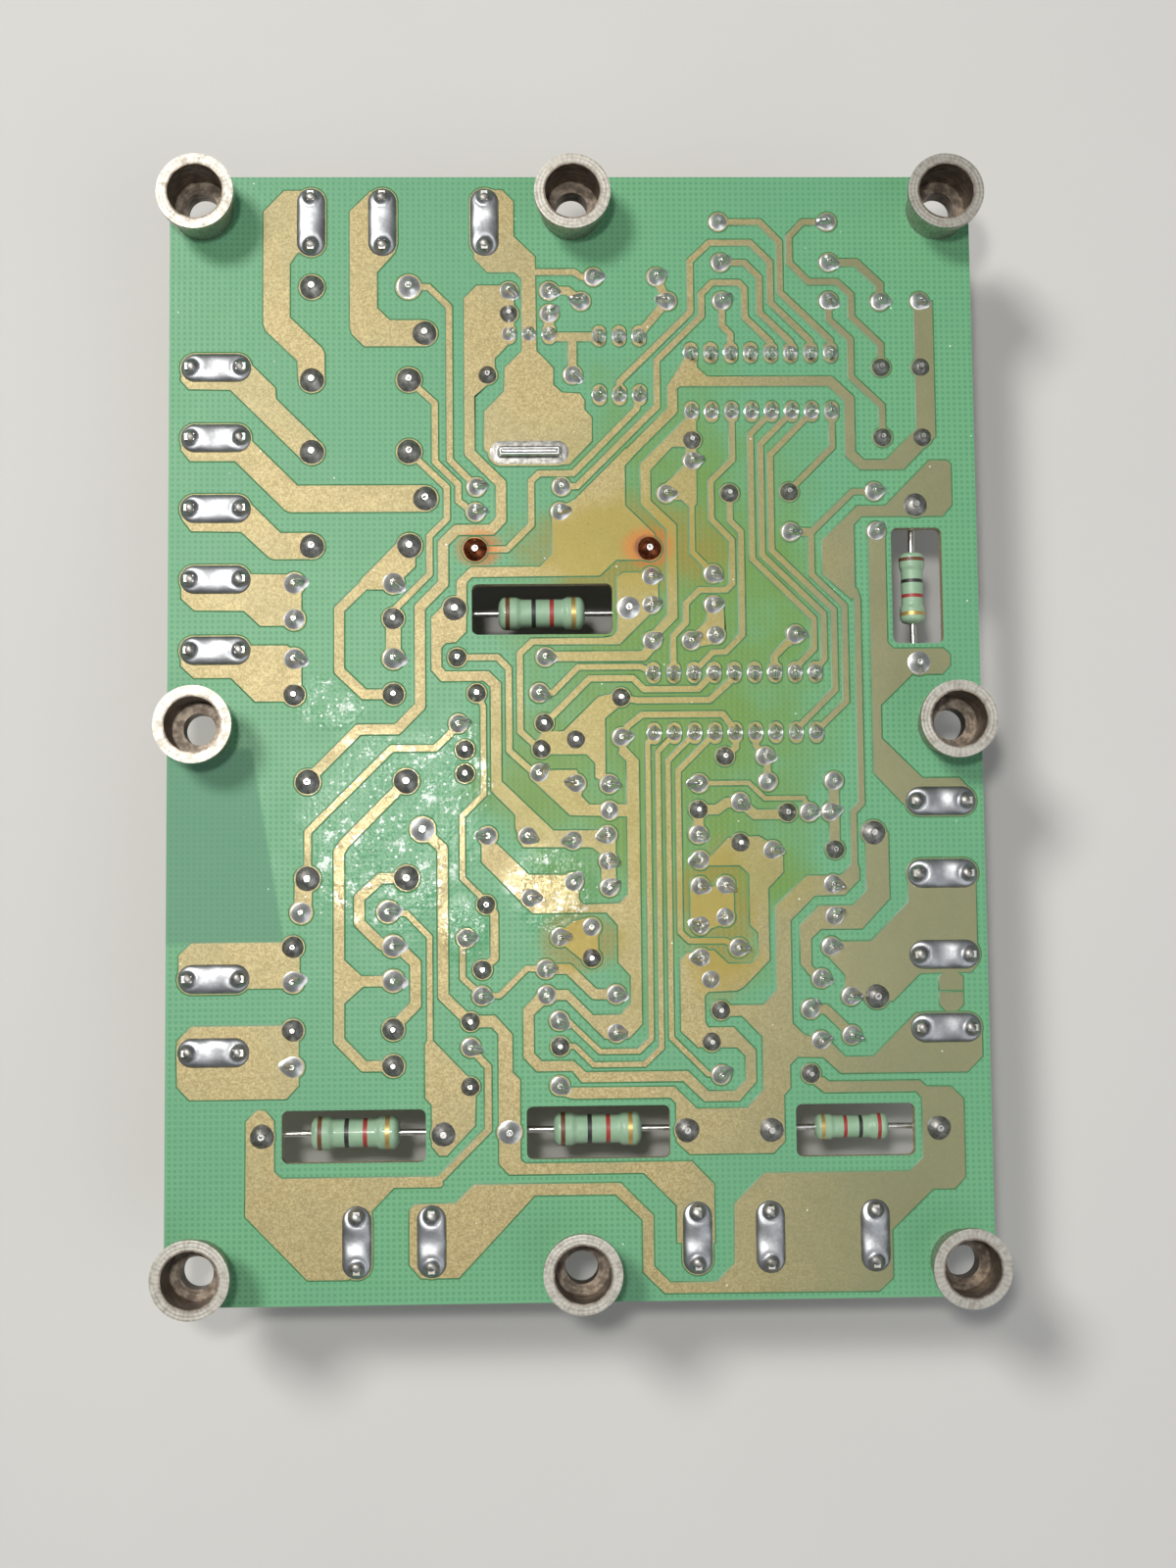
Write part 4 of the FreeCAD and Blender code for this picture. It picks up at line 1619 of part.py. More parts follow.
# ---------------------------------------------------------------------------------------------------
# Build, check and export
# ---------------------------------------------------------------------------------------------------
def check_document():
    """Stops if any object failed to build or any exported shape is empty or broken."""
    failed = [obj.Name for obj in doc.Objects if {"Invalid", "Error"} & set(obj.State)]
    if failed:
        raise RuntimeError(f"objects that did not build: {failed}")
    for obj in nodes:
        if obj.Shape.isNull() or not obj.Shape.isValid() or not obj.Shape.Solids:
            raise RuntimeError(f"{obj.Label} has no valid solid")


def main():
    make_board()
    make_copper()
    make_solder()
    make_blade_solder()
    make_spacers()
    make_blades()
    for number, corner in enumerate(RELAYS, start=1):
        Relay(number, corner).build()
    make_regulator()
    make_ics()
    make_axials()
    make_radials()
    make_line_capacitor()
    doc.recompute()
    check_document()
    os.makedirs("parts", exist_ok=True)
    for obj in nodes:
        obj.Shape.exportStep(f"parts/{obj.Label}.step")
    print(len(nodes), "nodes written")


main()
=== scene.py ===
"""Relay motherboard lying component side down, dressed and lit for a view of its solder side."""

from __future__ import annotations

import logging
import math
import random
from dataclasses import dataclass, field
from enum import Enum
from typing import Any, Callable, Optional, Sequence, Union

import bmesh
import bpy
from mathutils import Matrix, Vector

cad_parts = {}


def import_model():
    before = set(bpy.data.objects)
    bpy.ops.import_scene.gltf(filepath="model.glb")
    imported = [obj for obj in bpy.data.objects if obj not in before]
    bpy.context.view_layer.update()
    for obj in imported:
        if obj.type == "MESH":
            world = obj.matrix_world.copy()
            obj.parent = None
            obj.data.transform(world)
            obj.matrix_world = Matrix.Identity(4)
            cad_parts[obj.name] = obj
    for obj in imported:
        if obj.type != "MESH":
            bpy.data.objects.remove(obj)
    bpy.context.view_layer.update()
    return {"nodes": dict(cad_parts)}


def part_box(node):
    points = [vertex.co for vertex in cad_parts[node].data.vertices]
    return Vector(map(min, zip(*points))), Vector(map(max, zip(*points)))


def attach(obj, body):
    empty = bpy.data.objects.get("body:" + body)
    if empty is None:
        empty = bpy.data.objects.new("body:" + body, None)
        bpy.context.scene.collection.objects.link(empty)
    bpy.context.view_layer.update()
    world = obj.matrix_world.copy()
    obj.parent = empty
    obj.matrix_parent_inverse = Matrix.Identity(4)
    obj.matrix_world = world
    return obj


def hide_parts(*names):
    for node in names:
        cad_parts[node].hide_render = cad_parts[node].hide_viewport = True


LOG = logging.getLogger("motherboard")
MM = 0.001
ROOT = "board_assembly"
SHARP_ANGLE = 35
Triple = tuple[float, float, float]
Colour = Triple
Point = tuple[float, float]
Box = tuple[Vector, Vector]
Face = tuple[int, ...]
Nodes = dict[str, bpy.types.Object]


def rgba(colour: Colour) -> tuple[float, float, float, float]:
    """Adds a full alpha to a colour."""
    return (*colour, 1.0)


# ---- Shader expressions ----
def maths_method(operation: str, swapped: bool = False) -> Callable[..., "Field"]:
    """Makes a method of Field that adds one Math node.

    Args:
        operation: what the node does.
        swapped: whether the field is the second of the node's two inputs.

    Returns:
        The method.
    """

    def apply(field_: "Field", other: "Number" = 0.0) -> "Field":
        """Adds the node."""
        return field_.graph.maths(operation, *((other, field_) if swapped else (field_, other)))

    return apply


class Field:
    """A number that varies over a surface, written with ordinary operators."""

    def __init__(self, graph: "Graph", socket: bpy.types.NodeSocket) -> None:
        """Wraps one output socket of a graph."""
        self.graph = graph
        self.socket = socket

    __add__ = __radd__ = maths_method("ADD")
    __sub__ = maths_method("SUBTRACT")
    __rsub__ = maths_method("SUBTRACT", swapped=True)
    __mul__ = __rmul__ = maths_method("MULTIPLY")
    __truediv__ = maths_method("DIVIDE")
    __rtruediv__ = maths_method("DIVIDE", swapped=True)
    __gt__ = maths_method("GREATER_THAN")
    __lt__ = maths_method("LESS_THAN")
    __abs__ = maths_method("ABSOLUTE")
    __or__ = __ror__ = maths_method("MAXIMUM")
    sine = maths_method("SINE")

    def step(self, low: float, high: float) -> "Field":
        """Eases from 0 at low to 1 at high; low may be the larger.

        Args:
            low: value that gives 0.
            high: value that gives 1.

        Returns:
            The eased field.
        """
        node = self.graph.make(
            "ShaderNodeMapRange",
            {"interpolation_type": "SMOOTHSTEP"},
            {"Value": self, "From Min": low, "From Max": high},
        )
        return Field(self.graph, node.outputs[0])


Number = Union[Field, float]
Setting = Union[Field, float, Sequence[float]]


class Graph:
    """Node tree of one material, with one shader at its end."""

    def __init__(self, name: str) -> None:
        """Starts an empty material called name."""
        self.material = bpy.data.materials.new(name)
        self.material.use_nodes = True
        self.tree = self.material.node_tree
        self.tree.nodes.clear()
        self._place: Optional[Field] = None

    def make(
        self, kind: str, settings: Optional[dict[str, Any]] = None,
        inputs: Optional[dict[Any, Setting]] = None,
    ) -> bpy.types.Node:
        """Makes one node.

        Args:
            kind: node type.
            settings: properties, set first.
            inputs: values or links of its sockets, by name or number.

        Returns:
            The new node.
        """
        node = self.tree.nodes.new(kind)
        for key, value in (settings or {}).items():
            setattr(node, key, value)
        for key, value in (inputs or {}).items():
            if isinstance(value, Field):
                self.tree.links.new(value.socket, node.inputs[key])
            else:
                node.inputs[key].default_value = value
        return node

    def maths(self, operation: str, first: Number, second: Number = 0.0) -> Field:
        """One Math node."""
        node = self.make("ShaderNodeMath", {"operation": operation}, {0: first, 1: second})
        return Field(self, node.outputs[0])

    def place(self) -> Field:
        """Place on the object in millimetres.

        Returns:
            A vector field, made once for each graph.
        """
        if self._place is None:
            coords = self.make("ShaderNodeTexCoord")
            self._place = self.scaled(Field(self, coords.outputs["Object"]), (1000.0, 1000.0, 1000.0))
        return self._place

    def scaled(self, vector: Field, by: Triple) -> Field:
        """Vector multiplied part by part."""
        node = self.make("ShaderNodeVectorMath", {"operation": "MULTIPLY"}, {0: vector, 1: by})
        return Field(self, node.outputs[0])

    def split(self, vector: Field) -> tuple[Field, ...]:
        """Parts of a vector along X, Y and Z."""
        node = self.make("ShaderNodeSeparateXYZ", None, {0: vector})
        return tuple(Field(self, output) for output in node.outputs)

    def axes(self) -> tuple[Field, Field, Field]:
        """Place in millimetres, split; x and y start at the board's lower left corner.

        Returns:
            The fields x, y and z.
        """
        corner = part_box("board")[0] / MM
        x, y, z = self.split(self.place())
        return x - corner.x, y - corner.y, z

    def facing(self) -> Field:
        """How far the surface faces up, from -1 to 1."""
        geometry = self.make("ShaderNodeNewGeometry")
        return self.split(Field(self, geometry.outputs["Normal"]))[2]

    def noise(
        self, scale: float, detail: float = 3.0, rough: float = 0.5, stretch: Triple = (1.0, 1.0, 1.0)
    ) -> Field:
        """Cloudy noise with scale features in a millimetre.

        Args:
            scale: features in a millimetre.
            detail: octaves.
            rough: how strong the fine octaves are.
            stretch: how much tighter the features lie along each axis.

        Returns:
            A field about 0.5.
        """
        where = self.scaled(self.place(), stretch)
        node = self.make(
            "ShaderNodeTexNoise", None,
            {"Vector": where, "Scale": scale, "Detail": detail, "Roughness": rough},
        )
        return Field(self, node.outputs[0])

    def cells(self, scale: float) -> Field:
        """Distance to the nearest of scattered points."""
        node = self.make("ShaderNodeTexVoronoi", None, {"Vector": self.place(), "Scale": scale})
        return Field(self, node.outputs[0])

    def blend(self, mask: Number, under: Setting, over: Setting) -> Field:
        """Colour under with colour over laid on by mask.

        Args:
            mask: 0 shows under, 1 shows over.
            under: the colour below.
            over: the colour above.

        Returns:
            The mixed colour.
        """
        below, above = (side if isinstance(side, Field) else rgba(side) for side in (under, over))
        node = self.make("ShaderNodeMix", {"data_type": "RGBA"}, {0: mask, 6: below, 7: above})
        return Field(self, node.outputs[2])

    def bump(self, height: Field, strength: float, distance: float = 0.0001) -> Field:
        """Normal bent by a height field.

        Args:
            height: the relief.
            strength: how much of it shows.
            distance: its depth in metres.

        Returns:
            The bent normal.
        """
        node = self.make(
            "ShaderNodeBump", None, {"Strength": strength, "Distance": distance, "Height": height}
        )
        return Field(self, node.outputs[0])

    def finish(self, **sockets: Setting) -> bpy.types.Material:
        """Ends the tree in a Principled shader.

        Args:
            sockets: values of its sockets, with underscores for spaces in their names.

        Returns:
            The finished material.
        """
        inputs = {}
        for key, value in sockets.items():
            plain = not isinstance(value, Field)
            inputs[key.replace("_", " ")] = rgba(value) if plain and isinstance(value, tuple) else value
        shader = self.make("ShaderNodeBsdfPrincipled", None, inputs)
        output = self.make("ShaderNodeOutputMaterial")
        self.tree.links.new(shader.outputs[0], output.inputs[0])
        return self.material


# ---- Finishes ----
@dataclass(frozen=True)
class Stain:
    """A soft-edged mark, placed from the board's lower left corner in millimetres."""

    x: float
    y: float
    wide: float
    tall: float

    def mask(self, x: Field, y: Field, wobble: Field, soft: float = 0.8) -> Field:
        """Strength of the mark, from 1 at its middle to 0 at its edge.

        Args:
            x: place across, in millimetres.
            y: place along, in millimetres.
            wobble: noise that ragged edges follow.
            soft: share of its reach over which it fades.

        Returns:
            The mask.
        """
        dx = (x - self.x) / self.wide
        dy = (y - self.y) / self.tall
        reach = dx * dx + dy * dy + (wobble - 0.5) * 1.2
        return reach.step(1.0, 1.0 - soft)


WARM = (Stain(57.0, 93.0, 15.0, 9.0), Stain(51.0, 44.0, 6.5, 5.0), Stain(68.0, 46.0, 6.0, 12.0))
YELLOWED = (Stain(63.0, 76.0, 24.0, 48.0), Stain(47.0, 65.0, 12.0, 12.0), Stain(72.0, 52.0, 10.0, 8.0))
SCORCHED = (Stain(38.6, 93.0, 3.6, 2.9), Stain(60.0, 93.2, 3.8, 3.2))
FLUX = (
    Stain(28.0, 58.0, 13.0, 15.0), Stain(36.0, 64.0, 5.0, 9.0), Stain(36.5, 46.0, 4.0, 5.0),
    Stain(20.0, 74.0, 6.0, 4.0), Stain(47.0, 50.0, 7.0, 7.0),
)


def any_of(marks: Sequence[Stain], x: Field, y: Field, wobble: Field, soft: float = 0.8) -> Field:
    """Strength of the strongest of several marks.

    Args:
        marks: the marks.
        x: place across, in millimetres.
        y: place along, in millimetres.
        wobble: noise that ragged edges follow.
        soft: share of a mark's reach over which it fades.

    Returns:
        The mask.
    """
    strongest = marks[0].mask(x, y, wobble, soft)
    for mark in marks[1:]:
        strongest = strongest | mark.mask(x, y, wobble, soft)
    return strongest


def flux(graph: Graph, x: Field, y: Field, wobble: Field) -> tuple[Field, Field]:
    """Wet-looking areas of dried flux, and painted glints: white highlight flecks that lie thick in them and
    rare elsewhere.

    Args:
        graph: the material being made.
        x: place across, in millimetres.
        y: place along, in millimetres.
        wobble: noise that ragged edges follow.

    Returns:
        The mask of the wet areas and that of the painted glints.
    """
    zone = any_of(FLUX, x, y, wobble, 0.9)
    crust = graph.noise(0.5, 6.0, 0.76)
    # painted highlights: white glints of the flux's sparkle, thick in the wet areas and stray elsewhere
    glints = crust.step(0.555, 0.625) * zone.step(0.1, 0.6)
    glint_specks = graph.cells(0.85).step(0.17, 0.08) * zone.step(0.1, 0.5)
    stray_glints = graph.cells(0.31).step(0.045, 0.02)
    return zone, (glints * 0.72) | (glint_specks * 0.85) | (stray_glints * 0.7)


def scorch(graph: Graph, under: Field, x: Field, y: Field, wobble: Field) -> Field:
    """Lays the burnt resin round the hottest joints over a colour: an orange halo and a dark middle.

    Args:
        graph: the material being made.
        under: the colour below.
        x: place across, in millimetres.
        y: place along, in millimetres.
        wobble: noise that ragged edges follow.

    Returns:
        The browned colour.
    """
    halo = any_of(SCORCHED, x, y, wobble, 0.9)
    cores = [Stain(mark.x, mark.y, mark.wide * 0.52, mark.tall * 0.55) for mark in SCORCHED]
    core = any_of(cores, x, y, wobble)
    glowing = graph.blend(halo * 0.88, under, (0.44, 0.15, 0.018))
    return graph.blend(core * 0.9, glowing, (0.13, 0.035, 0.012))


def relief(graph: Graph, wet: Field) -> Field:
    """Height that laminate and copper share: low swells, and thick ripples where flux has dried.

    Args:
        graph: the material being made.
        wet: mask of the wet areas.

    Returns:
        The height field.
    """
    return graph.noise(0.8, 4.0) * 0.8 + wet * graph.noise(0.42, 5.0, 0.62) * 9.0


@dataclass(frozen=True)
class LaminateFinish:
    """Woven laminate: green resist on the solder side, bare on the component side, cream at its edges."""

    resist: Colour = (0.090, 0.285, 0.138)
    resist_light: Colour = (0.142, 0.370, 0.190)
    yellow: Colour = (0.138, 0.250, 0.036)
    amber: Colour = (0.31, 0.185, 0.025)
    bare: Colour = (0.42, 0.47, 0.25)
    edge: Colour = (0.46, 0.38, 0.22)
    pitch: float = 0.72

    def build(self) -> bpy.types.Material:
        """Makes the material.

        Returns:
            The finished material.
        """
        g = Graph("green_laminate")
        x, y, z = g.axes()
        wobble = g.noise(0.16, 4.0)
        fine = g.noise(3.0, 2.0)
        turn = 2.0 * math.pi / self.pitch
        weave = ((x * turn).sine() | (y * turn).sine()) * 0.5 + 0.5
        threads = weave * 0.7 + fine * 0.3
        resist = g.blend(threads.step(0.15, 0.85), self.resist, self.resist_light)
        resist = g.blend(g.noise(0.035, 2.0).step(0.35, 0.7) * 0.35, resist, (0.105, 0.305, 0.180))
        yellowed = any_of(YELLOWED, x, y, wobble, 1.0) * (threads * 0.25 + 0.70)
        resist = g.blend(yellowed, resist, self.yellow)
        resist = g.blend(any_of(WARM, x, y, wobble) * 0.55, resist, self.amber)
        resist = scorch(g, resist, x, y, wobble)
        frost = self._frost(x, y)
        resist = g.blend(frost * 0.6, resist, (0.135, 0.270, 0.190))
        wet, painted_glints = flux(g, x, y, wobble)
        # painted glints: white highlight flecks laid into the resist's colour
        resist = g.blend(painted_glints, resist, (0.90, 0.95, 0.90))
        bare = g.blend(threads.step(0.2, 0.8) * 0.5, self.bare, (0.52, 0.56, 0.33))
        up = g.facing()
        colour = g.blend(up > 0.5, bare, resist)
        rim = g.blend(g.noise(2.2, 3.0).step(0.4, 0.65), self.edge, (0.26, 0.20, 0.11))
        colour = g.blend(abs(up) < 0.5, colour, rim)
        height = weave * 0.4 + relief(g, wet)
        rough = g.noise(0.25, 3.0) * 0.2 + 0.30 + frost * 0.35 - wet * 0.24
        normal = g.bump(height, 0.28, 0.00012)
        return g.finish(Base_Color=colour, Roughness=rough, Specular_IOR_Level=0.32, Normal=normal)

    @staticmethod
    def _frost(x: Field, y: Field) -> Field:
        """Dull patch by the middle of the left edge, with a slanted right side.

        Args:
            x: place across, in millimetres.
            y: place along, in millimetres.

        Returns:
            The mask.
        """
        side = (x + (y - 44.0) * 0.17).step(14.8, 14.2)
        return side * y.step(43.6, 44.4) * y.step(68.5, 67.6)


@dataclass(frozen=True)
class CopperFinish:
    """Copper seen through thin resist: tan, painted duller and greyer olive to the right as shade, amber
    where it ran hot.
    """

    tan: Colour = (0.285, 0.222, 0.088)
    pale: Colour = (0.500, 0.410, 0.200)
    # olive that paints the shade of the copper on the right side
    painted_shade_olive: Colour = (0.200, 0.212, 0.112)
    amber: Colour = (0.300, 0.222, 0.026)

    def build(self) -> bpy.types.Material:
        """Makes the material.

        Returns:
            The finished material.
        """
        g = Graph("copper_under_resist")
        x, y, _ = g.axes()
        wobble = g.noise(0.16, 4.0)
        grain = g.noise(3.6, 4.0, 0.75)
        colour = g.blend(grain.step(0.35, 0.68), self.tan, self.pale)
        # painted shade: the copper turns olive towards the right, away from the light
        right = (x + (wobble - 0.5) * 16.0).step(58.0, 92.0)
        colour = g.blend(right * 0.88, colour, self.painted_shade_olive)
        dull = g.noise(0.09, 3.0).step(0.42, 0.66) * 0.30
        colour = g.blend(dull, colour, (0.27, 0.265, 0.14))
        warm = any_of(WARM, x, y, wobble)
        colour = g.blend(warm * 0.82, colour, self.amber)
        yellowed = any_of(YELLOWED, x, y, wobble, 1.0) * 0.5
        colour = g.blend(yellowed, colour, (0.27, 0.235, 0.045))
        pits = g.noise(2.6, 4.0, 0.8).step(0.60, 0.72) * (yellowed * 1.2 + warm * 0.4 + 0.10)
        colour = g.blend(pits, colour, (0.13, 0.10, 0.035))
        colour = scorch(g, colour, x, y, wobble)
        wet, painted_glints = flux(g, x, y, wobble)
        # painted glints: white highlight flecks laid into the copper's colour
        colour = g.blend(painted_glints, colour, (0.95, 0.93, 0.86))
        height = grain * 0.8 + relief(g, wet)
        rough = g.noise(0.4, 3.0) * 0.2 + 0.32 - wet * 0.24
        return g.finish(Base_Color=colour, Roughness=rough, Metallic=0.25, Normal=g.bump(height, 0.25))


@dataclass(frozen=True)
class MetalFinish:
    """Metal with cloudy tarnish, small pits and uneven polish."""

    name: str
    bright: Colour
    dark: Colour
    low_rough: float = 0.2
    high_rough: float = 0.45
    cloud: float = 0.8
    pits: float = 0.2
    stretch: Triple = (1.0, 1.0, 1.0)
    relief: float = 0.12

    def build(self) -> bpy.types.Material:
        """Makes the material.

        Returns:
            The finished material.
        """
        g = Graph(self.name)
        cloud = g.noise(self.cloud, 4.0, 0.6, self.stretch)
        colour = g.blend(cloud.step(0.35, 0.65), self.bright, self.dark)
        pits = g.noise(self.cloud * 5.0, 3.0, 0.7, self.stretch).step(0.58, 0.70) * self.pits
        colour = g.blend(pits, colour, tuple(0.35 * part for part in self.dark))
        rough = cloud * (self.high_rough - self.low_rough) + self.low_rough + pits * 0.4
        normal = g.bump(cloud + g.noise(self.cloud * 4.0, 2.0), self.relief)
        return g.finish(Base_Color=colour, Roughness=rough, Metallic=1.0, Normal=normal)


@dataclass(frozen=True)
class CoatedFinish:
    """Moulded plastic or a dipped coating, with mottling, fine orange peel and a soft gloss."""

    name: str
    base: Colour
    shade: Colour
    rough: float = 0.35
    coat: float = 0.0
    grain: float = 1.6
    relief: float = 0.1
    metallic: float = 0.0

    def build(self) -> bpy.types.Material:
        """Makes the material.

        Returns:
            The finished material.
        """
        g = Graph(self.name)
        cloud = g.noise(self.grain * 0.3, 4.0)
        peel = g.noise(self.grain * 3.0, 2.0)
        colour = g.blend(cloud.step(0.3, 0.7) * 0.8 + peel * 0.2, self.base, self.shade)
        return g.finish(
            Base_Color=colour, Roughness=cloud * 0.15 + self.rough, Metallic=self.metallic,
            Coat_Weight=self.coat, Coat_Roughness=0.1, Normal=g.bump(peel + cloud, self.relief),
        )


@dataclass(frozen=True)
class WindingFinish:
    """Enamelled wire in tight level turns, painted darker in the grooves between turns as shade and lighter
    on their crowns as highlight.
    """

    pitch: float = 0.24

    def build(self) -> bpy.types.Material:
        """Makes the material.

        Returns:
            The finished material.
        """
        g = Graph("enamelled_wire")
        _, _, z = g.axes()
        turns = (z * (2.0 * math.pi / self.pitch)).sine() * 0.5 + 0.5
        # painted shade and highlight: dark in the grooves between turns, light on their crowns
        colour = g.blend(turns, (0.20, 0.055, 0.015), (0.62, 0.24, 0.075))
        rough = g.noise(1.0) * 0.1 + 0.24
        return g.finish(Base_Color=colour, Roughness=rough, Metallic=0.8, Normal=g.bump(turns, 0.6))


@dataclass(frozen=True)
class LensFinish:
    """Tinted epoxy that passes light."""

    tint: Colour = (0.72, 0.05, 0.03)

    def build(self) -> bpy.types.Material:
        """Makes the material.

        Returns:
            The finished material.
        """
        g = Graph("red_lens")
        cloud = g.noise(0.5)
        return g.finish(
            Base_Color=g.blend(cloud, self.tint, (0.45, 0.02, 0.02)), Roughness=cloud * 0.06 + 0.07,
            Transmission_Weight=0.45, IOR=1.5,
        )


@dataclass(frozen=True)
class SpacerFinish:
    """Nickel plate with turning marks, painted dark brown inside the bore as shade of the recess; centre and
    bore are in millimetres.
    """

    name: str
    centre: Point
    bore: float
    bright: Colour = (0.50, 0.48, 0.43)
    worn: Colour = (0.30, 0.275, 0.235)
    # dark brown painted inside the bore as shade of the recess
    brown: Colour = (0.105, 0.080, 0.062)
    pale_bore_shade: Colour = (0.27, 0.22, 0.17)

    def build(self) -> bpy.types.Material:
        """Makes the material.

        Returns:
            The finished material.
        """
        g = Graph(self.name)
        x, y, _ = g.split(g.place())
        dx, dy = x - self.centre[0], y - self.centre[1]
        radius = g.maths("SQRT", dx * dx + dy * dy)
        cloud = g.noise(1.3, 4.0, 0.65)
        marks = g.maths("ARCTAN2", dy, dx) * 46.0 + cloud * 9.0
        streaks = marks.sine() * 0.5 + 0.5
        colour = g.blend(cloud.step(0.40, 0.68) * 0.7 + streaks * 0.3, self.bright, self.worn)
        # painted shade: the bore is coloured dark brown, streaked
        inside = radius.step(self.bore + 0.35, self.bore + 0.05)
        bore_streaks = g.noise(0.9, 4.0, 0.6, (1.0, 1.0, 2.5)).step(0.4, 0.65)
        bore_shade = g.blend(bore_streaks, self.brown, self.pale_bore_shade)
        colour = g.blend(inside * 0.92, colour, bore_shade)
        turned = (radius * 14.0 + cloud * 2.0).sine() * 0.3 + cloud
        rough = cloud * 0.22 + 0.38
        return g.finish(Base_Color=colour, Roughness=rough, Metallic=1.0, Normal=g.bump(turned, 0.1))


class Finish(Enum):
    """Every finish on the board."""

    LAMINATE = LaminateFinish()
    COPPER = CopperFinish()
    # dark green of the bead at the copper's edges: painted shade of the step from copper to laminate
    RESIST_EDGE = CoatedFinish("resist_edge_shade", (0.050, 0.165, 0.070), (0.090, 0.235, 0.095), 0.35)
    SOLDER = MetalFinish("bright_solder", (0.95, 0.95, 0.93), (0.66, 0.65, 0.63), 0.26, 0.46, 1.1, 0.25)
    SOLDER_DULL = MetalFinish("dull_solder", (0.42, 0.41, 0.385), (0.20, 0.195, 0.18), 0.36, 0.6, 1.4, 0.4)
    SOLDER_BURNT = MetalFinish(
        "scorched_solder", (0.36, 0.11, 0.045), (0.12, 0.03, 0.012), 0.26, 0.45, 1.4, 0.5
    )
    TERMINAL_TIN = MetalFinish(
        "terminal_tin", (0.46, 0.47, 0.485), (0.30, 0.305, 0.32), 0.34, 0.52, 0.5, 0.15
    )
    TAB = MetalFinish("tinned_tab", (0.78, 0.77, 0.73), (0.58, 0.56, 0.50), 0.25, 0.45, 0.4, 0.2, (1, 1, 4))
    LEAD = MetalFinish("tinned_lead", (0.78, 0.77, 0.75), (0.50, 0.49, 0.47), 0.22, 0.4, 1.0, 0.15)
    STEEL = MetalFinish("magnet_steel", (0.62, 0.62, 0.61), (0.42, 0.42, 0.41), 0.28, 0.5, 0.4, 0.2)
    SPRING = MetalFinish("spring_bronze", (0.78, 0.56, 0.28), (0.58, 0.38, 0.18), 0.2, 0.4, 0.5, 0.15)
    ALUMINIUM = MetalFinish(
        "sheet_aluminium", (0.76, 0.76, 0.77), (0.60, 0.60, 0.61), 0.3, 0.5, 0.25, 0.1, (8, 1, 1)
    )
    HARDWARE = MetalFinish("plated_screw", (0.74, 0.72, 0.66), (0.52, 0.50, 0.44), 0.2, 0.4, 0.8, 0.2)
    RELAY_CASE = CoatedFinish(
        "relay_case", (0.022, 0.023, 0.026), (0.036, 0.037, 0.041), 0.32, 0.1, 1.2, 0.12
    )
    BOBBIN = CoatedFinish("bobbin_plastic", (0.62, 0.56, 0.44), (0.52, 0.46, 0.35), 0.45)
    WIRE = WindingFinish()
    CHIP = CoatedFinish("chip_plastic", (0.025, 0.025, 0.028), (0.045, 0.045, 0.048), 0.5, 0.0, 3.0, 0.35)
    GREEN_COAT = CoatedFinish(
        "green_coating", (0.300, 0.460, 0.310), (0.245, 0.390, 0.260), 0.38, 0.25, 2.0, 0.2
    )
    BROWN_COAT = CoatedFinish(
        "heat_browned_coating", (0.20, 0.13, 0.075), (0.09, 0.05, 0.028), 0.5, 0.1, 1.6, 0.3
    )
    TAN_COAT = CoatedFinish("tan_coating", (0.62, 0.46, 0.25), (0.53, 0.38, 0.20), 0.32, 0.3, 2.0)
    BLACK_CASE = CoatedFinish("diode_case", (0.02, 0.02, 0.022), (0.035, 0.035, 0.038), 0.42, 0.0, 2.2, 0.2)
    BAND_BROWN = CoatedFinish("brown_band", (0.16, 0.065, 0.030), (0.11, 0.04, 0.02), 0.38, 0.2)
    BAND_BLACK = CoatedFinish("black_band", (0.018, 0.018, 0.018), (0.03, 0.03, 0.03), 0.38, 0.2)
    BAND_RED = CoatedFinish("red_band", (0.36, 0.04, 0.035), (0.26, 0.03, 0.03), 0.38, 0.2)
    BAND_ORANGE = CoatedFinish("orange_band", (0.72, 0.22, 0.03), (0.6, 0.17, 0.02), 0.38, 0.2)
    BAND_YELLOW = CoatedFinish("yellow_band", (0.80, 0.58, 0.06), (0.68, 0.48, 0.05), 0.38, 0.2)
    BAND_GOLD = CoatedFinish("gold_band", (0.62, 0.44, 0.16), (0.48, 0.32, 0.10), 0.3, 0.1, 2.0, 0.1, 0.6)
    BAND_GREY = CoatedFinish("cathode_band", (0.55, 0.55, 0.54), (0.45, 0.45, 0.44), 0.4)
    SLEEVE = CoatedFinish("can_sleeve", (0.030, 0.040, 0.090), (0.045, 0.060, 0.120), 0.28, 0.3, 0.8)
    SLEEVE_STRIPE = CoatedFinish("sleeve_stripe", (0.55, 0.58, 0.62), (0.48, 0.50, 0.55), 0.3, 0.3, 0.8)
    OCHRE_DIP = CoatedFinish("ochre_dip", (0.60, 0.27, 0.05), (0.50, 0.20, 0.035), 0.28, 0.4, 1.4, 0.25)
    BROWN_DIP = CoatedFinish("brown_dip", (0.50, 0.20, 0.045), (0.42, 0.15, 0.03), 0.45, 0.1, 1.4, 0.3)
    IVORY_BOX = CoatedFinish("ivory_box", (0.74, 0.68, 0.48), (0.68, 0.61, 0.41), 0.36, 0.1, 0.8)
    BLUE_DIP = CoatedFinish("blue_dip", (0.06, 0.16, 0.42), (0.04, 0.11, 0.33), 0.3, 0.3)
    LENS = LensFinish()


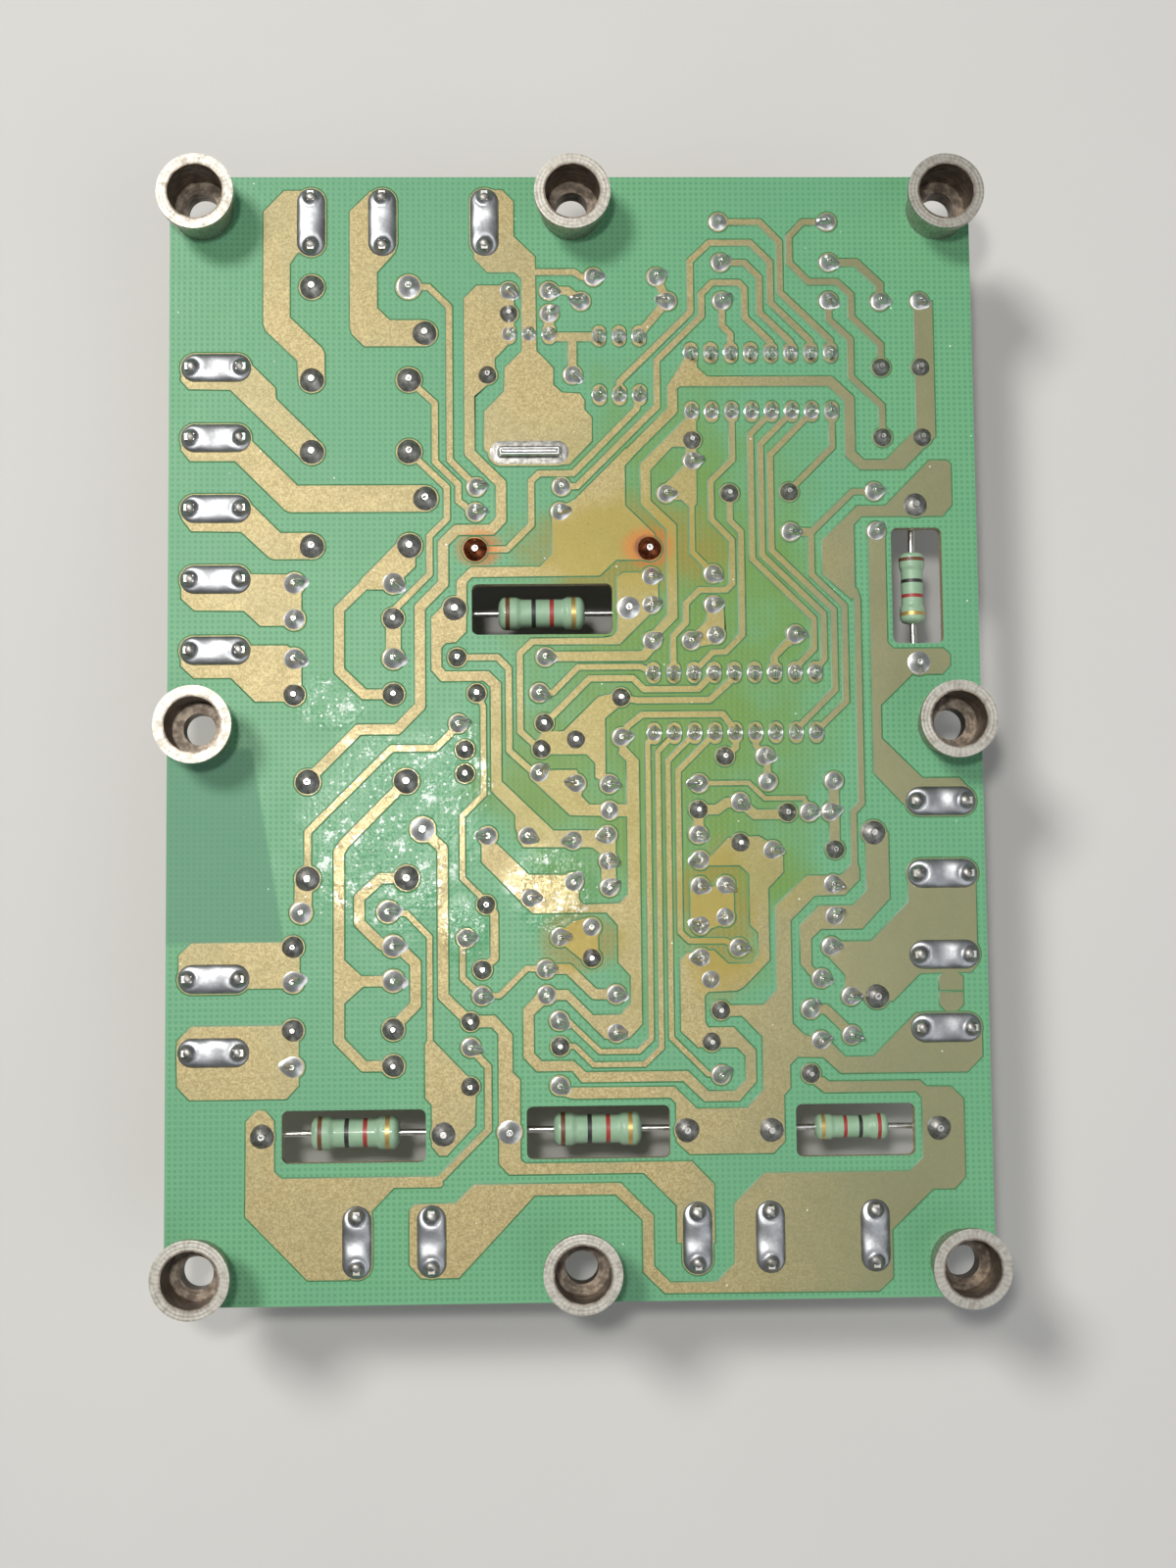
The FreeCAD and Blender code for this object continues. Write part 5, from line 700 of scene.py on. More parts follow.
class Wardrobe:
    """Makes each finish once and hands it out."""

    def __init__(self) -> None:
        """Starts with nothing made."""
        self._made: dict[Finish, bpy.types.Material] = {}

    def get(self, finish: Finish) -> bpy.types.Material:
        """Material of a finish.

        Args:
            finish: which one.

        Returns:
            Its material, made the first time it is asked for.
        """
        if finish not in self._made:
            self._made[finish] = finish.value.build()
        return self._made[finish]

    def dress(self, piece: bpy.types.Object, *finishes: Finish) -> None:
        """Puts a piece in its finishes."""
        put_on(piece, *(self.get(finish) for finish in finishes))


def put_on(piece: bpy.types.Object, *materials: bpy.types.Material) -> None:
    """Gives a piece its material slots, in order.

    Args:
        piece: the piece.
        materials: what it wears.
    """
    piece.data.materials.clear()
    for material in materials:
        piece.data.materials.append(material)


# ---- Mesh tools ----
@dataclass
class Island:
    """One separate solid of a node."""

    points: list[Vector]

    def __post_init__(self) -> None:
        """Finds the corners of its box."""
        self.low = Vector([min(p[axis] for p in self.points) for axis in range(3)])
        self.high = Vector([max(p[axis] for p in self.points) for axis in range(3)])

    @property
    def middle(self) -> Vector:
        """Middle of its box."""
        return (self.low + self.high) / 2

    @property
    def span(self) -> Vector:
        """Sides of its box."""
        return self.high - self.low


def islands(node: bpy.types.Object) -> list[Island]:
    """Splits a node's mesh into its separate solids, ordered by place.

    Args:
        node: the node.

    Returns:
        The solids, from the near left to the far right.
    """
    bm = bmesh.new()
    bm.from_mesh(node.data)
    bmesh.ops.remove_doubles(bm, verts=bm.verts, dist=1e-6)
    seen: set[int] = set()
    found = []
    bm.verts.index_update()
    for start in bm.verts:
        if start.index in seen:
            continue
        seen.add(start.index)
        queue, group = [start], []
        while queue:
            vert = queue.pop()
            group.append(vert.co.copy())
            for edge in vert.link_edges:
                other = edge.other_vert(vert)
                if other.index not in seen:
                    seen.add(other.index)
                    queue.append(other)
        found.append(Island(group))
    bm.free()
    return sorted(found, key=lambda item: (round(item.middle.y, 5), round(item.middle.x, 5)))


class MeshMaker:
    """Gathers vertices and faces, with a finish for each face."""

    def __init__(self) -> None:
        """Starts empty."""
        self.verts: list[Vector] = []
        self.faces: list[Face] = []
        self.worn: list[Finish] = []

    def add(self, verts: Sequence[Vector], faces: Sequence[Face], worn: Sequence[Finish]) -> None:
        """Adds a patch whose faces count from its own first vertex.

        Args:
            verts: its vertices.
            faces: its faces.
            worn: the finish of each face.
        """
        base = len(self.verts)
        self.verts += verts
        self.faces += [tuple(base + index for index in face) for face in faces]
        self.worn += worn

    def build(self, name: str, slot: str, finishes: Sequence[Finish], wardrobe: Wardrobe) -> bpy.types.Object:
        """Makes the object, dressed and riding on the board.

        Args:
            name: name of the piece.
            slot: not used.
            finishes: every finish that its faces wear.
            wardrobe: where the materials come from.

        Returns:
            The piece.
        """
        mesh = bpy.data.meshes.new(name)
        mesh.from_pydata([tuple(v) for v in self.verts], [], self.faces)
        mesh.update()
        piece = bpy.data.objects.new(name, mesh)
        bpy.context.scene.collection.objects.link(piece)
        wardrobe.dress(piece, *finishes)
        number = {finish: index for index, finish in enumerate(finishes)}
        mesh.polygons.foreach_set("material_index", [number[finish] for finish in self.worn])
        mesh.polygons.foreach_set("use_smooth", [True] * len(self.faces))
        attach(piece, ROOT)
        return piece


def grid_faces(rows: int, columns: int, closed: bool) -> list[Face]:
    """Quads between rings of points.

    Args:
        rows: number of rings.
        columns: points in a ring.
        closed: whether a ring joins up with itself.

    Returns:
        The faces, counted from the first point.
    """
    faces = []
    wrap = columns if closed else columns - 1
    for row in range(rows - 1):
        for column in range(wrap):
            after = (column + 1) % columns
            a, b = row * columns + column, row * columns + after
            faces.append((a, b, b + columns, a + columns))
    return faces


# ---- Pieces ----
@dataclass
class SolderField:
    """Every round joint: a wetted cone or dome with the trimmed, folded end of its lead."""

    wardrobe: Wardrobe
    rings: int = 9
    sides: int = 22
    seed: int = 11
    lift: float = 0.02 * MM
    cone_height: float = 1.05 * MM
    dome_height: float = 0.85 * MM
    tip_radius: float = 0.31 * MM
    pin_limit: float = 1.0 * MM
    heavy_limit: float = 1.4 * MM
    long_lead: float = 0.92 * MM
    short_lead: float = 0.4 * MM
    burn_reach: float = 3.0 * MM
    package_margin: float = 3.0 * MM
    tongue: float = 0.42
    fillet_reach: float = 2.6
    finishes: tuple[Finish, ...] = (
        Finish.SOLDER, Finish.SOLDER_DULL, Finish.SOLDER_BURNT, Finish.LEAD
    )

    def build(self, node: bpy.types.Object) -> bpy.types.Object:
        """Replaces the plain cones.

        Args:
            node: the plain node from the frame.

        Returns:
            The piece that stands in for it.
        """
        rng = random.Random(self.seed)
        maker = MeshMaker()
        packages = [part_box(f"{name}_body") for name in ("optocoupler", "driver_ic", "controller_ic")]
        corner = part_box("board")[0]
        burns = [corner + Vector((mark.x, mark.y, 0)) * MM for mark in SCORCHED]
        for island in islands(node):
            centre = island.middle
            base = Vector((centre.x, centre.y, island.low.z - self.lift))
            radius = max(island.span.x, island.span.y) / 2
            angle, length = self._fold(base, radius, packages, rng)
            domed = self._is_dome(radius, length, rng)
            burnt = any((base - burn).to_2d().length < self.burn_reach for burn in burns)
            self._joint(maker, base, radius, angle, length, domed, burnt, rng)
        piece = maker.build("soldered_joints", "solder", self.finishes, self.wardrobe)
        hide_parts(node.name)
        return piece

    def _fold(
        self, base: Vector, radius: float, packages: Sequence[Box], rng: random.Random
    ) -> tuple[float, float]:
        """Direction and length of the folded lead end at a joint.

        Args:
            base: middle of the pad.
            radius: radius of the pad.
            packages: boxes of the dual-in-line packages.
            rng: the draws.

        Returns:
            Angle in radians and length in metres.
        """
        if radius < self.pin_limit:
            past = self.package_margin
            for low, high in packages:
                within_x = low.x - past < base.x < high.x + past
                if within_x and low.y - past < base.y < high.y + past:
                    inward = -1 if base.y > (low.y + high.y) / 2 else 1
                    return math.radians(90 * inward + rng.uniform(-14, 14)), 0.9 * MM
            return math.radians(rng.uniform(20, 70)), 0.7 * MM
        if radius > self.heavy_limit:
            return rng.uniform(0, 2 * math.pi), 0.25 * MM
        if rng.random() < 0.34:
            return math.radians(rng.uniform(0, 360)), 0.2 * MM
        lean = rng.choice((0, 0, 0, 12, -25, 35, 180))
        return math.radians(lean + rng.uniform(-16, 16)), rng.uniform(0.95, 1.45) * MM

    def _is_dome(self, radius: float, length: float, rng: random.Random) -> bool:
        """Whether a joint is a full rounded dome.

        Args:
            radius: radius of the pad.
            length: length of its folded lead.
            rng: the draws.

        Returns:
            True for a dome, False for a cone.
        """
        if radius < self.pin_limit:
            return False
        return length < self.short_lead and rng.random() < 0.85

    def _joint(
        self, maker: MeshMaker, base: Vector, radius: float, angle: float, length: float, domed: bool,
        burnt: bool, rng: random.Random,
    ) -> None:
        """Adds one joint as a height field over its pad.

        Args:
            maker: where it goes.
            base: middle of the pad.
            radius: radius of the pad.
            angle: direction of the folded lead.
            length: its length.
            domed: whether the joint is a dome.
            burnt: whether it is scorched.
            rng: the draws.
        """
        height = (self.dome_height if domed else self.cone_height) * rng.uniform(0.88, 1.12)
        direction = Vector((math.cos(angle), math.sin(angle)))
        verts = [base.copy()]
        wave = rng.uniform(0, 6.28)
        for ring in range(1, self.rings + 1):
            part = (ring / self.rings) ** 0.85
            for side in range(self.sides):
                turn = 2 * math.pi * side / self.sides
                edge = self._spread(turn, angle, length) + 0.04 * math.sin(3 * turn + wave)
                flat = Vector((math.cos(turn), math.sin(turn))) * radius * part * edge
                verts.append(Vector((base.x + flat.x, base.y + flat.y, base.z)))
        for vert in verts:
            vert.z += self._height((vert - base).to_2d(), radius, height, direction, length, domed)
        faces: list[Face] = [(0, 1 + side, 1 + (side + 1) % self.sides) for side in range(self.sides)]
        faces += [tuple(1 + index for index in face) for face in grid_faces(self.rings, self.sides, True)]
        bright, dull, scorched, bare = self.finishes
        body = scorched if burnt else (dull if domed else bright)
        worn = []
        for face in faces:
            middle = sum((verts[index] for index in face), Vector()) / len(face)
            off = self._off_lead((middle - base).to_2d(), direction, length)
            on_lead = length > self.short_lead and off < 0.8
            worn.append(bare if on_lead and not burnt else body)
        maker.add(verts, faces, worn)

    def _spread(self, turn: float, angle: float, length: float) -> float:
        """Reach of a joint in one direction as a share of its pad's radius: past it along a long lead.

        Args:
            turn: the direction.
            angle: direction of the folded lead.
            length: its length.

        Returns:
            The share.
        """
        tongue = self.tongue if length > self.long_lead else 0.0
        return 1.0 + tongue * max(0.0, math.cos(turn - angle)) ** 9

    def _off_lead(self, flat: Vector, direction: Vector, length: float) -> float:
        """Distance in plan from the folded lead's middle line, in the lead's own tapering half widths.

        Args:
            flat: place from the middle of the pad.
            direction: direction of the lead.
            length: its length.

        Returns:
            The distance: under 1 on the lead.
        """
        along = max(0.0, min(length, flat.dot(direction)))
        taper = 1.25 - 0.55 * along / length
        return (flat - direction * along).length / (self.tip_radius * taper)

    def _height(
        self, flat: Vector, radius: float, height: float, direction: Vector, length: float, domed: bool
    ) -> float:
        """Height of the joint over its pad.

        Args:
            flat: place from the middle of the pad.
            radius: radius of the pad.
            height: height of this joint.
            direction: direction of the folded lead.
            length: its length.
            domed: whether the joint is a dome.

        Returns:
            The height in metres.
        """
        spread = self._spread(flat.angle_signed(direction), 0.0, length) if flat.length > 1e-9 else 1.0
        reach = min(1.0, flat.length / (radius * spread))
        if domed:
            wet = height * (0.62 * (1.0 - reach ** 2.4) + 0.38 * (1.0 - reach) ** 1.2)
        else:
            wet = height * 0.9 * (1.0 - reach) ** 1.3
        off = self._off_lead(flat, direction, length)
        crown = height * 1.08 - 0.22 * max(0.0, flat.dot(direction)) + 0.20 * MM
        lead = crown * math.sqrt(max(0.0, 1.0 - off * off)) if off < 1.0 else 0.0
        fillet = crown * 0.52 * max(0.0, 1.0 - off / self.fillet_reach) ** 1.4
        limit = 1.0 if domed else (1.0 - reach ** 6)
        return max(wet, lead, fillet * limit)


@dataclass
class TerminalSolder:
    """Long domed joints of the blade terminals, both legs showing, and the joint of the heatsink's tab."""

    wardrobe: Wardrobe
    along: int = 44
    across: int = 26
    rise: float = 0.72 * MM
    leg_offset: float = 3.175 * MM
    leg_radius: float = 0.95 * MM
    leg_rise: float = 0.54 * MM
    tab_limit: float = 9.5 * MM
    bar_length: float = 3.9 * MM
    bar_width: float = 0.6 * MM
    seed: int = 5
    finishes: tuple[Finish, ...] = (Finish.TERMINAL_TIN, Finish.SOLDER_DULL, Finish.SOLDER)

    def build(self, node: bpy.types.Object) -> bpy.types.Object:
        """Replaces the plain domes.

        Args:
            node: the plain node from the frame.

        Returns:
            The piece that stands in for it.
        """
        rng = random.Random(self.seed)
        maker = MeshMaker()
        for island in islands(node):
            self._joint(maker, island, rng)
        piece = maker.build("terminal_joints", "solder", self.finishes, self.wardrobe)
        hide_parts(node.name)
        return piece

    def _joint(self, maker: MeshMaker, island: Island, rng: random.Random) -> None:
        """Adds one long joint.

        Args:
            maker: where it goes.
            island: its plain solid.
            rng: the draws.
        """
        lengthwise_x = island.span.x > island.span.y
        long = max(island.span.x, island.span.y) / 2
        wide = min(island.span.x, island.span.y) / 2
        base = Vector((island.middle.x, island.middle.y, island.low.z - 0.02 * MM))
        is_tab = long * 2 > self.tab_limit
        centre = Vector((1, 0)) if lengthwise_x else Vector((0, 1))
        side = Vector((-centre.y, centre.x))
        phase = rng.uniform(0, 6.28)
        verts, where = [], []
        for row in range(self.along + 1):
            u = long * math.sin(math.pi / 2 * (2 * row / self.along - 1))
            over = max(0.0, abs(u) - (long - wide))
            half = math.sqrt(max(0.0, wide * wide - over * over))
            for column in range(self.across + 1):
                v = half * math.sin(math.pi / 2 * (2 * column / self.across - 1))
                flat = centre * u + side * v
                z = self._tab(u, v, long, wide) if is_tab else self._height(u, v, long, wide, phase)
                verts.append(Vector((base.x + flat.x, base.y + flat.y, base.z + z)))
                where.append((u, v))
        faces = grid_faces(self.along + 1, self.across + 1, False)
        tin, dull, bright = self.finishes
        worn = []
        for face in faces:
            u = sum(where[index][0] for index in face) / 4
            v = sum(where[index][1] for index in face) / 4
            if is_tab:
                worn.append(bright if abs(u) < self.bar_length and abs(v) < self.bar_width else dull)
            else:
                near_leg = math.hypot(abs(u) - self.leg_offset, v) < self.leg_radius * 0.8
                worn.append(dull if near_leg else tin)
        maker.add(verts, faces, worn)

    @staticmethod
    def _rim(u: float, v: float, long: float, wide: float) -> float:
        """How far a place on a round-ended land lies towards its edge, from 0 to 1.

        Args:
            u: place along the land, from its middle.
            v: place across it.
            long: half its length.
            wide: half its width.

        Returns:
            The share.
        """
        return min(1.0, math.hypot(v / wide, max(0.0, abs(u) - (long - wide)) / wide))

    def _height(self, u: float, v: float, long: float, wide: float, phase: float) -> float:
        """Height over the land of a terminal's joint.

        Args:
            u: place along the land, from its middle.
            v: place across it.
            long: half its length.
            wide: half its width.
            phase: start of the ripple.

        Returns:
            The height in metres.
        """
        rim = self._rim(u, v, long, wide)
        dome = self.rise * math.sqrt(max(0.0, 1.0 - rim ** 2.6))
        sag = 1.0 - 0.22 * math.cos(math.pi * u / long) ** 2
        ripple = 1.0 + 0.05 * math.sin(u / MM * 1.7 + phase)
        off = math.hypot(abs(u) - self.leg_offset, v) / self.leg_radius
        moat = 0.16 * math.exp(-(((off - 1.15) / 0.35) ** 2))
        stub = self.leg_rise * math.sqrt(max(0.0, 1.0 - off * off)) if off < 1.0 else 0.0
        return dome * sag * ripple * (1.0 - moat) + stub

    def _tab(self, u: float, v: float, long: float, wide: float) -> float:
        """Height over the heatsink's tab: a bright ridge on a low apron.

        Args:
            u: place along the land, from its middle.
            v: place across it.
            long: half its length.
            wide: half its width.

        Returns:
            The height in metres.
        """
        rim = self._rim(u, v, long, wide)
        apron = 0.10 * MM * math.sqrt(max(0.0, 1.0 - rim ** 2.0))
        across = v / (0.55 * MM)
        end = max(0.0, min(1.0, (3.85 * MM - abs(u)) / (0.25 * MM)))
        return apron + 1.05 * MM * end * math.sqrt(max(0.0, 1.0 - across * across))


@dataclass
class ResistEdgesPaintedShade:
    """Bead of resist that runs down from the copper's edge to the laminate, dark green as painted shade along
    the copper's outlines.
    """

    wardrobe: Wardrobe
    width: float = 0.19 * MM
    smallest: float = 2.4 * MM
    above: float = 0.004 * MM
    longest_mitre: float = 1.8

    def build(self, node: bpy.types.Object) -> bpy.types.Object:
        """Makes the dark painted-shade bead along every outline of the copper.

        Args:
            node: the copper from the frame.

        Returns:
            The piece.
        """
        bm = bmesh.new()
        bm.from_mesh(node.data)
        bmesh.ops.remove_doubles(bm, verts=bm.verts, dist=1e-6)
        bm.normal_update()
        after: dict[int, list[int]] = {}
        bm.verts.ensure_lookup_table()
        for face in bm.faces:
            if face.normal.z < 0.9:
                continue
            for loop in face.loops:
                tops = [other for other in loop.edge.link_faces if other.normal.z > 0.9]
                if len(tops) == 1:
                    after.setdefault(loop.vert.index, []).append(loop.link_loop_next.vert.index)
        maker = MeshMaker()
        floor = min(v.co.z for v in bm.verts) + self.above
        for outline in self._outlines(after):
            self._bead(maker, [bm.verts[index].co.copy() for index in outline], floor)
        bm.free()
        return maker.build("resist_edge_shade_bead", "laminate", (Finish.RESIST_EDGE,), self.wardrobe)

    @staticmethod
    def _outlines(after: dict[int, list[int]]) -> list[list[int]]:
        """Follows the edges round each closed outline.

        Args:
            after: the vertices that follow each vertex; emptied on the way.

        Returns:
            The vertices of each outline in order.
        """
        outlines = []
        while after:
            start = next(iter(after))
            outline = [start]
            here = start
            while here in after:
                following = after[here].pop()
                if not after[here]:
                    del after[here]
                if following == start:
                    break
                outline.append(following)
                here = following
            outlines.append(outline)
        return outlines

    def _bead(self, maker: MeshMaker, points: list[Vector], floor: float) -> None:
        """Adds the bead along one outline.

        Args:
            maker: where it goes.
            points: the outline, in order.
            floor: height of its foot.
        """
        count = len(points)
        if count < 3 or max(Island(points).span) < self.smallest:
            return
        outs = []
        for index, point in enumerate(points):
            ahead = points[(index + 1) % count] - point
            outs.append(Vector((ahead.y, -ahead.x)).normalized())
        verts = []
        for index, point in enumerate(points):
            total = outs[index - 1] + outs[index]
            scale = total.length_squared
            offset = total * (2.0 / scale) if scale > 0.5 else outs[index]
            if offset.length > self.longest_mitre:
                offset = offset.normalized() * self.longest_mitre
            shoulder = floor + (point.z - floor) * 0.7
            for out, level in ((0.0, point.z + self.above), (0.45, shoulder), (1.0, floor)):
                shift = offset * self.width * out
                verts.append(Vector((point.x + shift.x, point.y + shift.y, level)))
        faces = []
        for index in range(count):
            a, b = 3 * index, 3 * ((index + 1) % count)
            faces += [(a, a + 1, b + 1, b), (a + 1, a + 2, b + 2, b + 1)]
        maker.add(verts, faces, [Finish.RESIST_EDGE] * len(faces))


@dataclass(frozen=True)
class Band:
    """A painted band, placed along a body as parts of its length."""

    start: float
    end: float
    paint: Finish


@dataclass
class AxialBodies:
    """Turned bodies between two leads, with painted bands."""

    wardrobe: Wardrobe
    name: str
    slot: str
    node: str
    finishes: tuple[Finish, ...]
    codes: list[tuple[Band, ...]]
    waist: float = 0.86
    cap: float = 0.20
    rounding: float = 0.16
    sides: int = 32
    steps: int = 120

    def build(self, node: bpy.types.Object) -> bpy.types.Object:
        """Replaces the plain bodies.

        Args:
            node: the plain node from the frame.

        Returns:
            The piece that stands in for it.
        """
        maker = MeshMaker()
        for index, island in enumerate(islands(node)):
            self._body(maker, island, self.codes[index % len(self.codes)])
        piece = maker.build(self.name, self.slot, self.finishes, self.wardrobe)
        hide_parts(self.node)
        return piece

    def _radius(self, part: float) -> float:
        """Radius at a part of the length, as a fraction of the largest.

        Args:
            part: place along the body, from 0 to 1.

        Returns:
            The fraction.
        """
        end = min(part, 1.0 - part)
        if end < self.rounding / 2:
            fall = 1.0 - end / (self.rounding / 2)
            return 0.30 + 0.70 * math.sqrt(max(0.0, 1.0 - fall * fall))
        if end < self.cap:
            return 1.0
        ease = min(1.0, (end - self.cap) / 0.07)
        return 1.0 - (1.0 - self.waist) * (3 * ease ** 2 - 2 * ease ** 3)

    def _body(self, maker: MeshMaker, island: Island, code: tuple[Band, ...]) -> None:
        """Adds one banded body.

        Args:
            maker: where it goes.
            island: its plain solid.
            code: its bands.
        """
        lengthwise_x = island.span.x > island.span.y
        length = max(island.span.x, island.span.y)
        radius = island.span.z / 2
        axis = Vector((1, 0, 0)) if lengthwise_x else Vector((0, -1, 0))
        side = Vector((0, 1, 0)) if lengthwise_x else Vector((1, 0, 0))
        start = island.middle - axis * length / 2
        verts = []
        for row in range(self.steps + 1):
            part = row / self.steps
            reach = radius * self._radius(part)
            for column in range(self.sides):
                turn = 2 * math.pi * column / self.sides
                out = side * math.cos(turn) + Vector((0, 0, math.sin(turn)))
                verts.append(start + axis * length * part + out * reach)
        faces = grid_faces(self.steps + 1, self.sides, True)
        if lengthwise_x:
            faces = [tuple(reversed(face)) for face in faces]
        coat = self.finishes[0]
        worn = []
        for row in range(self.steps):
            part = (row + 0.5) / self.steps
            worn += [next((band.paint for band in code if band.start <= part < band.end), coat)] * self.sides
        last = self.steps * self.sides
        ends = [tuple(range(self.sides)), tuple(reversed(range(last, last + self.sides)))]
        maker.add(verts, faces + ends, worn + [coat, coat])


def bands(
    paints: Sequence[Finish], width: float, spread: Sequence[float] = (0.14, 0.34, 0.52, 0.82)
) -> tuple[Band, ...]:
    """Four bands in order, spread along a body.

    Args:
        paints: their colours.
        width: width of each.
        spread: their middles, as parts of the length.

    Returns:
        The bands.
    """
    return tuple(Band(at - width / 2, at + width / 2, paint) for at, paint in zip(spread, paints))


@dataclass
class CanSleeves:
    """Electrolytic capacitors: shrunk sleeve, rolled groove, bare scored top."""

    wardrobe: Wardrobe
    sides: int = 40
    stripe: int = 6
    finishes: tuple[Finish, ...] = (
        Finish.SLEEVE, Finish.SLEEVE_STRIPE, Finish.ALUMINIUM, Finish.BLACK_CASE
    )

    def build(self, node: bpy.types.Object) -> bpy.types.Object:
        """Replaces the plain cans. Their tops point down.

        Args:
            node: the plain node from the frame.

        Returns:
            The piece that stands in for it.
        """
        maker = MeshMaker()
        for island in islands(node):
            self._can(maker, island)
        piece = maker.build("sleeved_cans", "can_sleeve", self.finishes, self.wardrobe)
        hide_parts(node.name)
        return piece

    def _can(self, maker: MeshMaker, island: Island) -> None:
        """Adds one can, from its top at the bottom up to the rubber plug by the board.

        Args:
            maker: where it goes.
            island: its plain solid.
        """
        radius = island.span.x / 2
        tall = island.span.z / MM
        top = [(0.0, 0.16), (0.60, 0.16), (0.72, 0.14), (0.80, 0.02)]
        wall = [
            (0.90, 0.0), (0.97, 0.18), (1.0, 0.50), (1.0, tall - 3.1), (0.93, tall - 2.8), (0.91, tall - 2.4),
            (0.93, tall - 2.0), (1.0, tall - 1.7), (1.0, tall - 0.5), (0.94, tall - 0.1),
        ]
        plug = [(0.80, tall - 0.05), (0.76, tall - 0.45), (0.0, tall - 0.45)]
        profile = top + wall + plug
        verts = []
        for part, level in profile:
            for column in range(self.sides):
                turn = 2 * math.pi * column / self.sides
                reach = radius * max(part, 0.01)
                across = Vector((reach * math.cos(turn), reach * math.sin(turn)))
                x, y = island.middle.x + across.x, island.middle.y + across.y
                verts.append(Vector((x, y, island.low.z + level * MM)))
        sleeve, stripe, metal, rubber = self.finishes
        wrapped = [stripe] * self.stripe + [sleeve] * (self.sides - self.stripe)
        worn = [metal] * (self.sides * len(top)) + wrapped * len(wall)
        worn += [rubber] * (self.sides * (len(plug) - 1))
        faces = grid_faces(len(profile), self.sides, True)
        faces.append(tuple(reversed(range(self.sides))))
        maker.add(verts, faces, worn + [metal])


# ---- The board as a whole ----
@dataclass
class SolderSide:
    """Laminate, copper, resist and joints."""

    wardrobe: Wardrobe

    def build(self, nodes: Nodes) -> list[bpy.types.Object]:
        """Dresses the board and makes its joints.

        Args:
            nodes: the nodes of the frame, by name.

        Returns:
            The pieces that show.
        """
        self.wardrobe.dress(nodes["board"], Finish.LAMINATE)
        self.wardrobe.dress(nodes["copper_artwork"], Finish.COPPER)
        return [
            nodes["board"],
            nodes["copper_artwork"],
            ResistEdgesPaintedShade(self.wardrobe).build(nodes["copper_artwork"]),
            SolderField(self.wardrobe).build(nodes["solder_joints"]),
            TerminalSolder(self.wardrobe).build(nodes["blade_solder"]),
        ]


@dataclass
class ComponentSide:
    """Everything that stands on the other face."""

    wardrobe: Wardrobe
    soft_edge: float = 0.35 * MM
    plain: dict[str, Finish] = field(
        default_factory=lambda: {
            "blade_terminals_side": Finish.TAB, "blade_terminals_end": Finish.TAB,
            "regulator_body": Finish.CHIP, "regulator_frame": Finish.LEAD, "heatsink": Finish.ALUMINIUM,
            "regulator_screw": Finish.HARDWARE, "regulator_nut": Finish.HARDWARE,
            "optocoupler_body": Finish.CHIP, "driver_ic_body": Finish.CHIP, "controller_ic_body": Finish.CHIP,
            "ic_pins": Finish.LEAD, "axial_leads": Finish.LEAD, "radial_leads": Finish.LEAD,
            "film_capacitors": Finish.OCHRE_DIP, "disc_capacitors": Finish.BROWN_DIP,
            "status_leds": Finish.LENS, "resonator": Finish.BLUE_DIP, "line_capacitor": Finish.IVORY_BOX,
        }
    )
    moulded: tuple[str, ...] = (
        "line_capacitor", "optocoupler_body", "driver_ic_body", "controller_ic_body", "regulator_body"
    )

    def build(self, nodes: Nodes) -> list[bpy.types.Object]:
        """Dresses the frame's nodes and makes the turned bodies.

        Args:
            nodes: the nodes of the frame, by name.

        Returns:
            The pieces that show.
        """
        for name, finish in self.plain.items():
            self.wardrobe.dress(nodes[name], finish)
        for name in self.moulded:
            soften(nodes[name], self.soft_edge)
        pieces = [nodes[name] for name in self.plain]
        pieces += [maker.build(nodes[maker.node]) for maker in self._turned()]
        return pieces + [CanSleeves(self.wardrobe).build(nodes["electrolytic_capacitors"])]

    def _turned(self) -> list[AxialBodies]:
        """The kinds of banded body.

        Returns:
            One maker for each kind.
        """
        brown, black, red, gold = Finish.BAND_BROWN, Finish.BAND_BLACK, Finish.BAND_RED, Finish.BAND_GOLD
        orange, yellow, grey = Finish.BAND_ORANGE, Finish.BAND_YELLOW, Finish.BAND_GREY
        paints = (brown, black, red, gold)
        spread = (0.11, 0.41, 0.62, 0.87)
        usual = bands(paints, 0.05, spread)
        reverse = bands((gold, red, black, red), 0.05, spread)
        mixed = [
            bands(code, 0.08)
            for code in (
                (brown, black, orange, gold), (yellow, red, red, gold), (orange, orange, red, gold),
                (brown, black, red, gold), (red, red, brown, gold),
            )
        ]
        return [
            AxialBodies(
                self.wardrobe, "power_resistor_bodies", "power_coat", "power_resistors",
                (Finish.GREEN_COAT, *paints), [usual, reverse, usual, usual, usual],
            ),
            AxialBodies(
                self.wardrobe, "dropper_body", "dropper_coat", "dropper_resistor",
                (Finish.BROWN_COAT, *paints), [usual],
            ),
            AxialBodies(
                self.wardrobe, "small_resistor_bodies", "resistor_coat", "small_resistors",
                (Finish.TAN_COAT, *paints, orange, yellow), mixed, sides=20, steps=60,
            ),
            AxialBodies(
                self.wardrobe, "diode_bodies", "diode_case", "diodes", (Finish.BLACK_CASE, grey),
                [(Band(0.76, 0.90, grey),), (Band(0.10, 0.24, grey),)], waist=1.0, rounding=0.1,
                sides=24, steps=50,
            ),
        ]


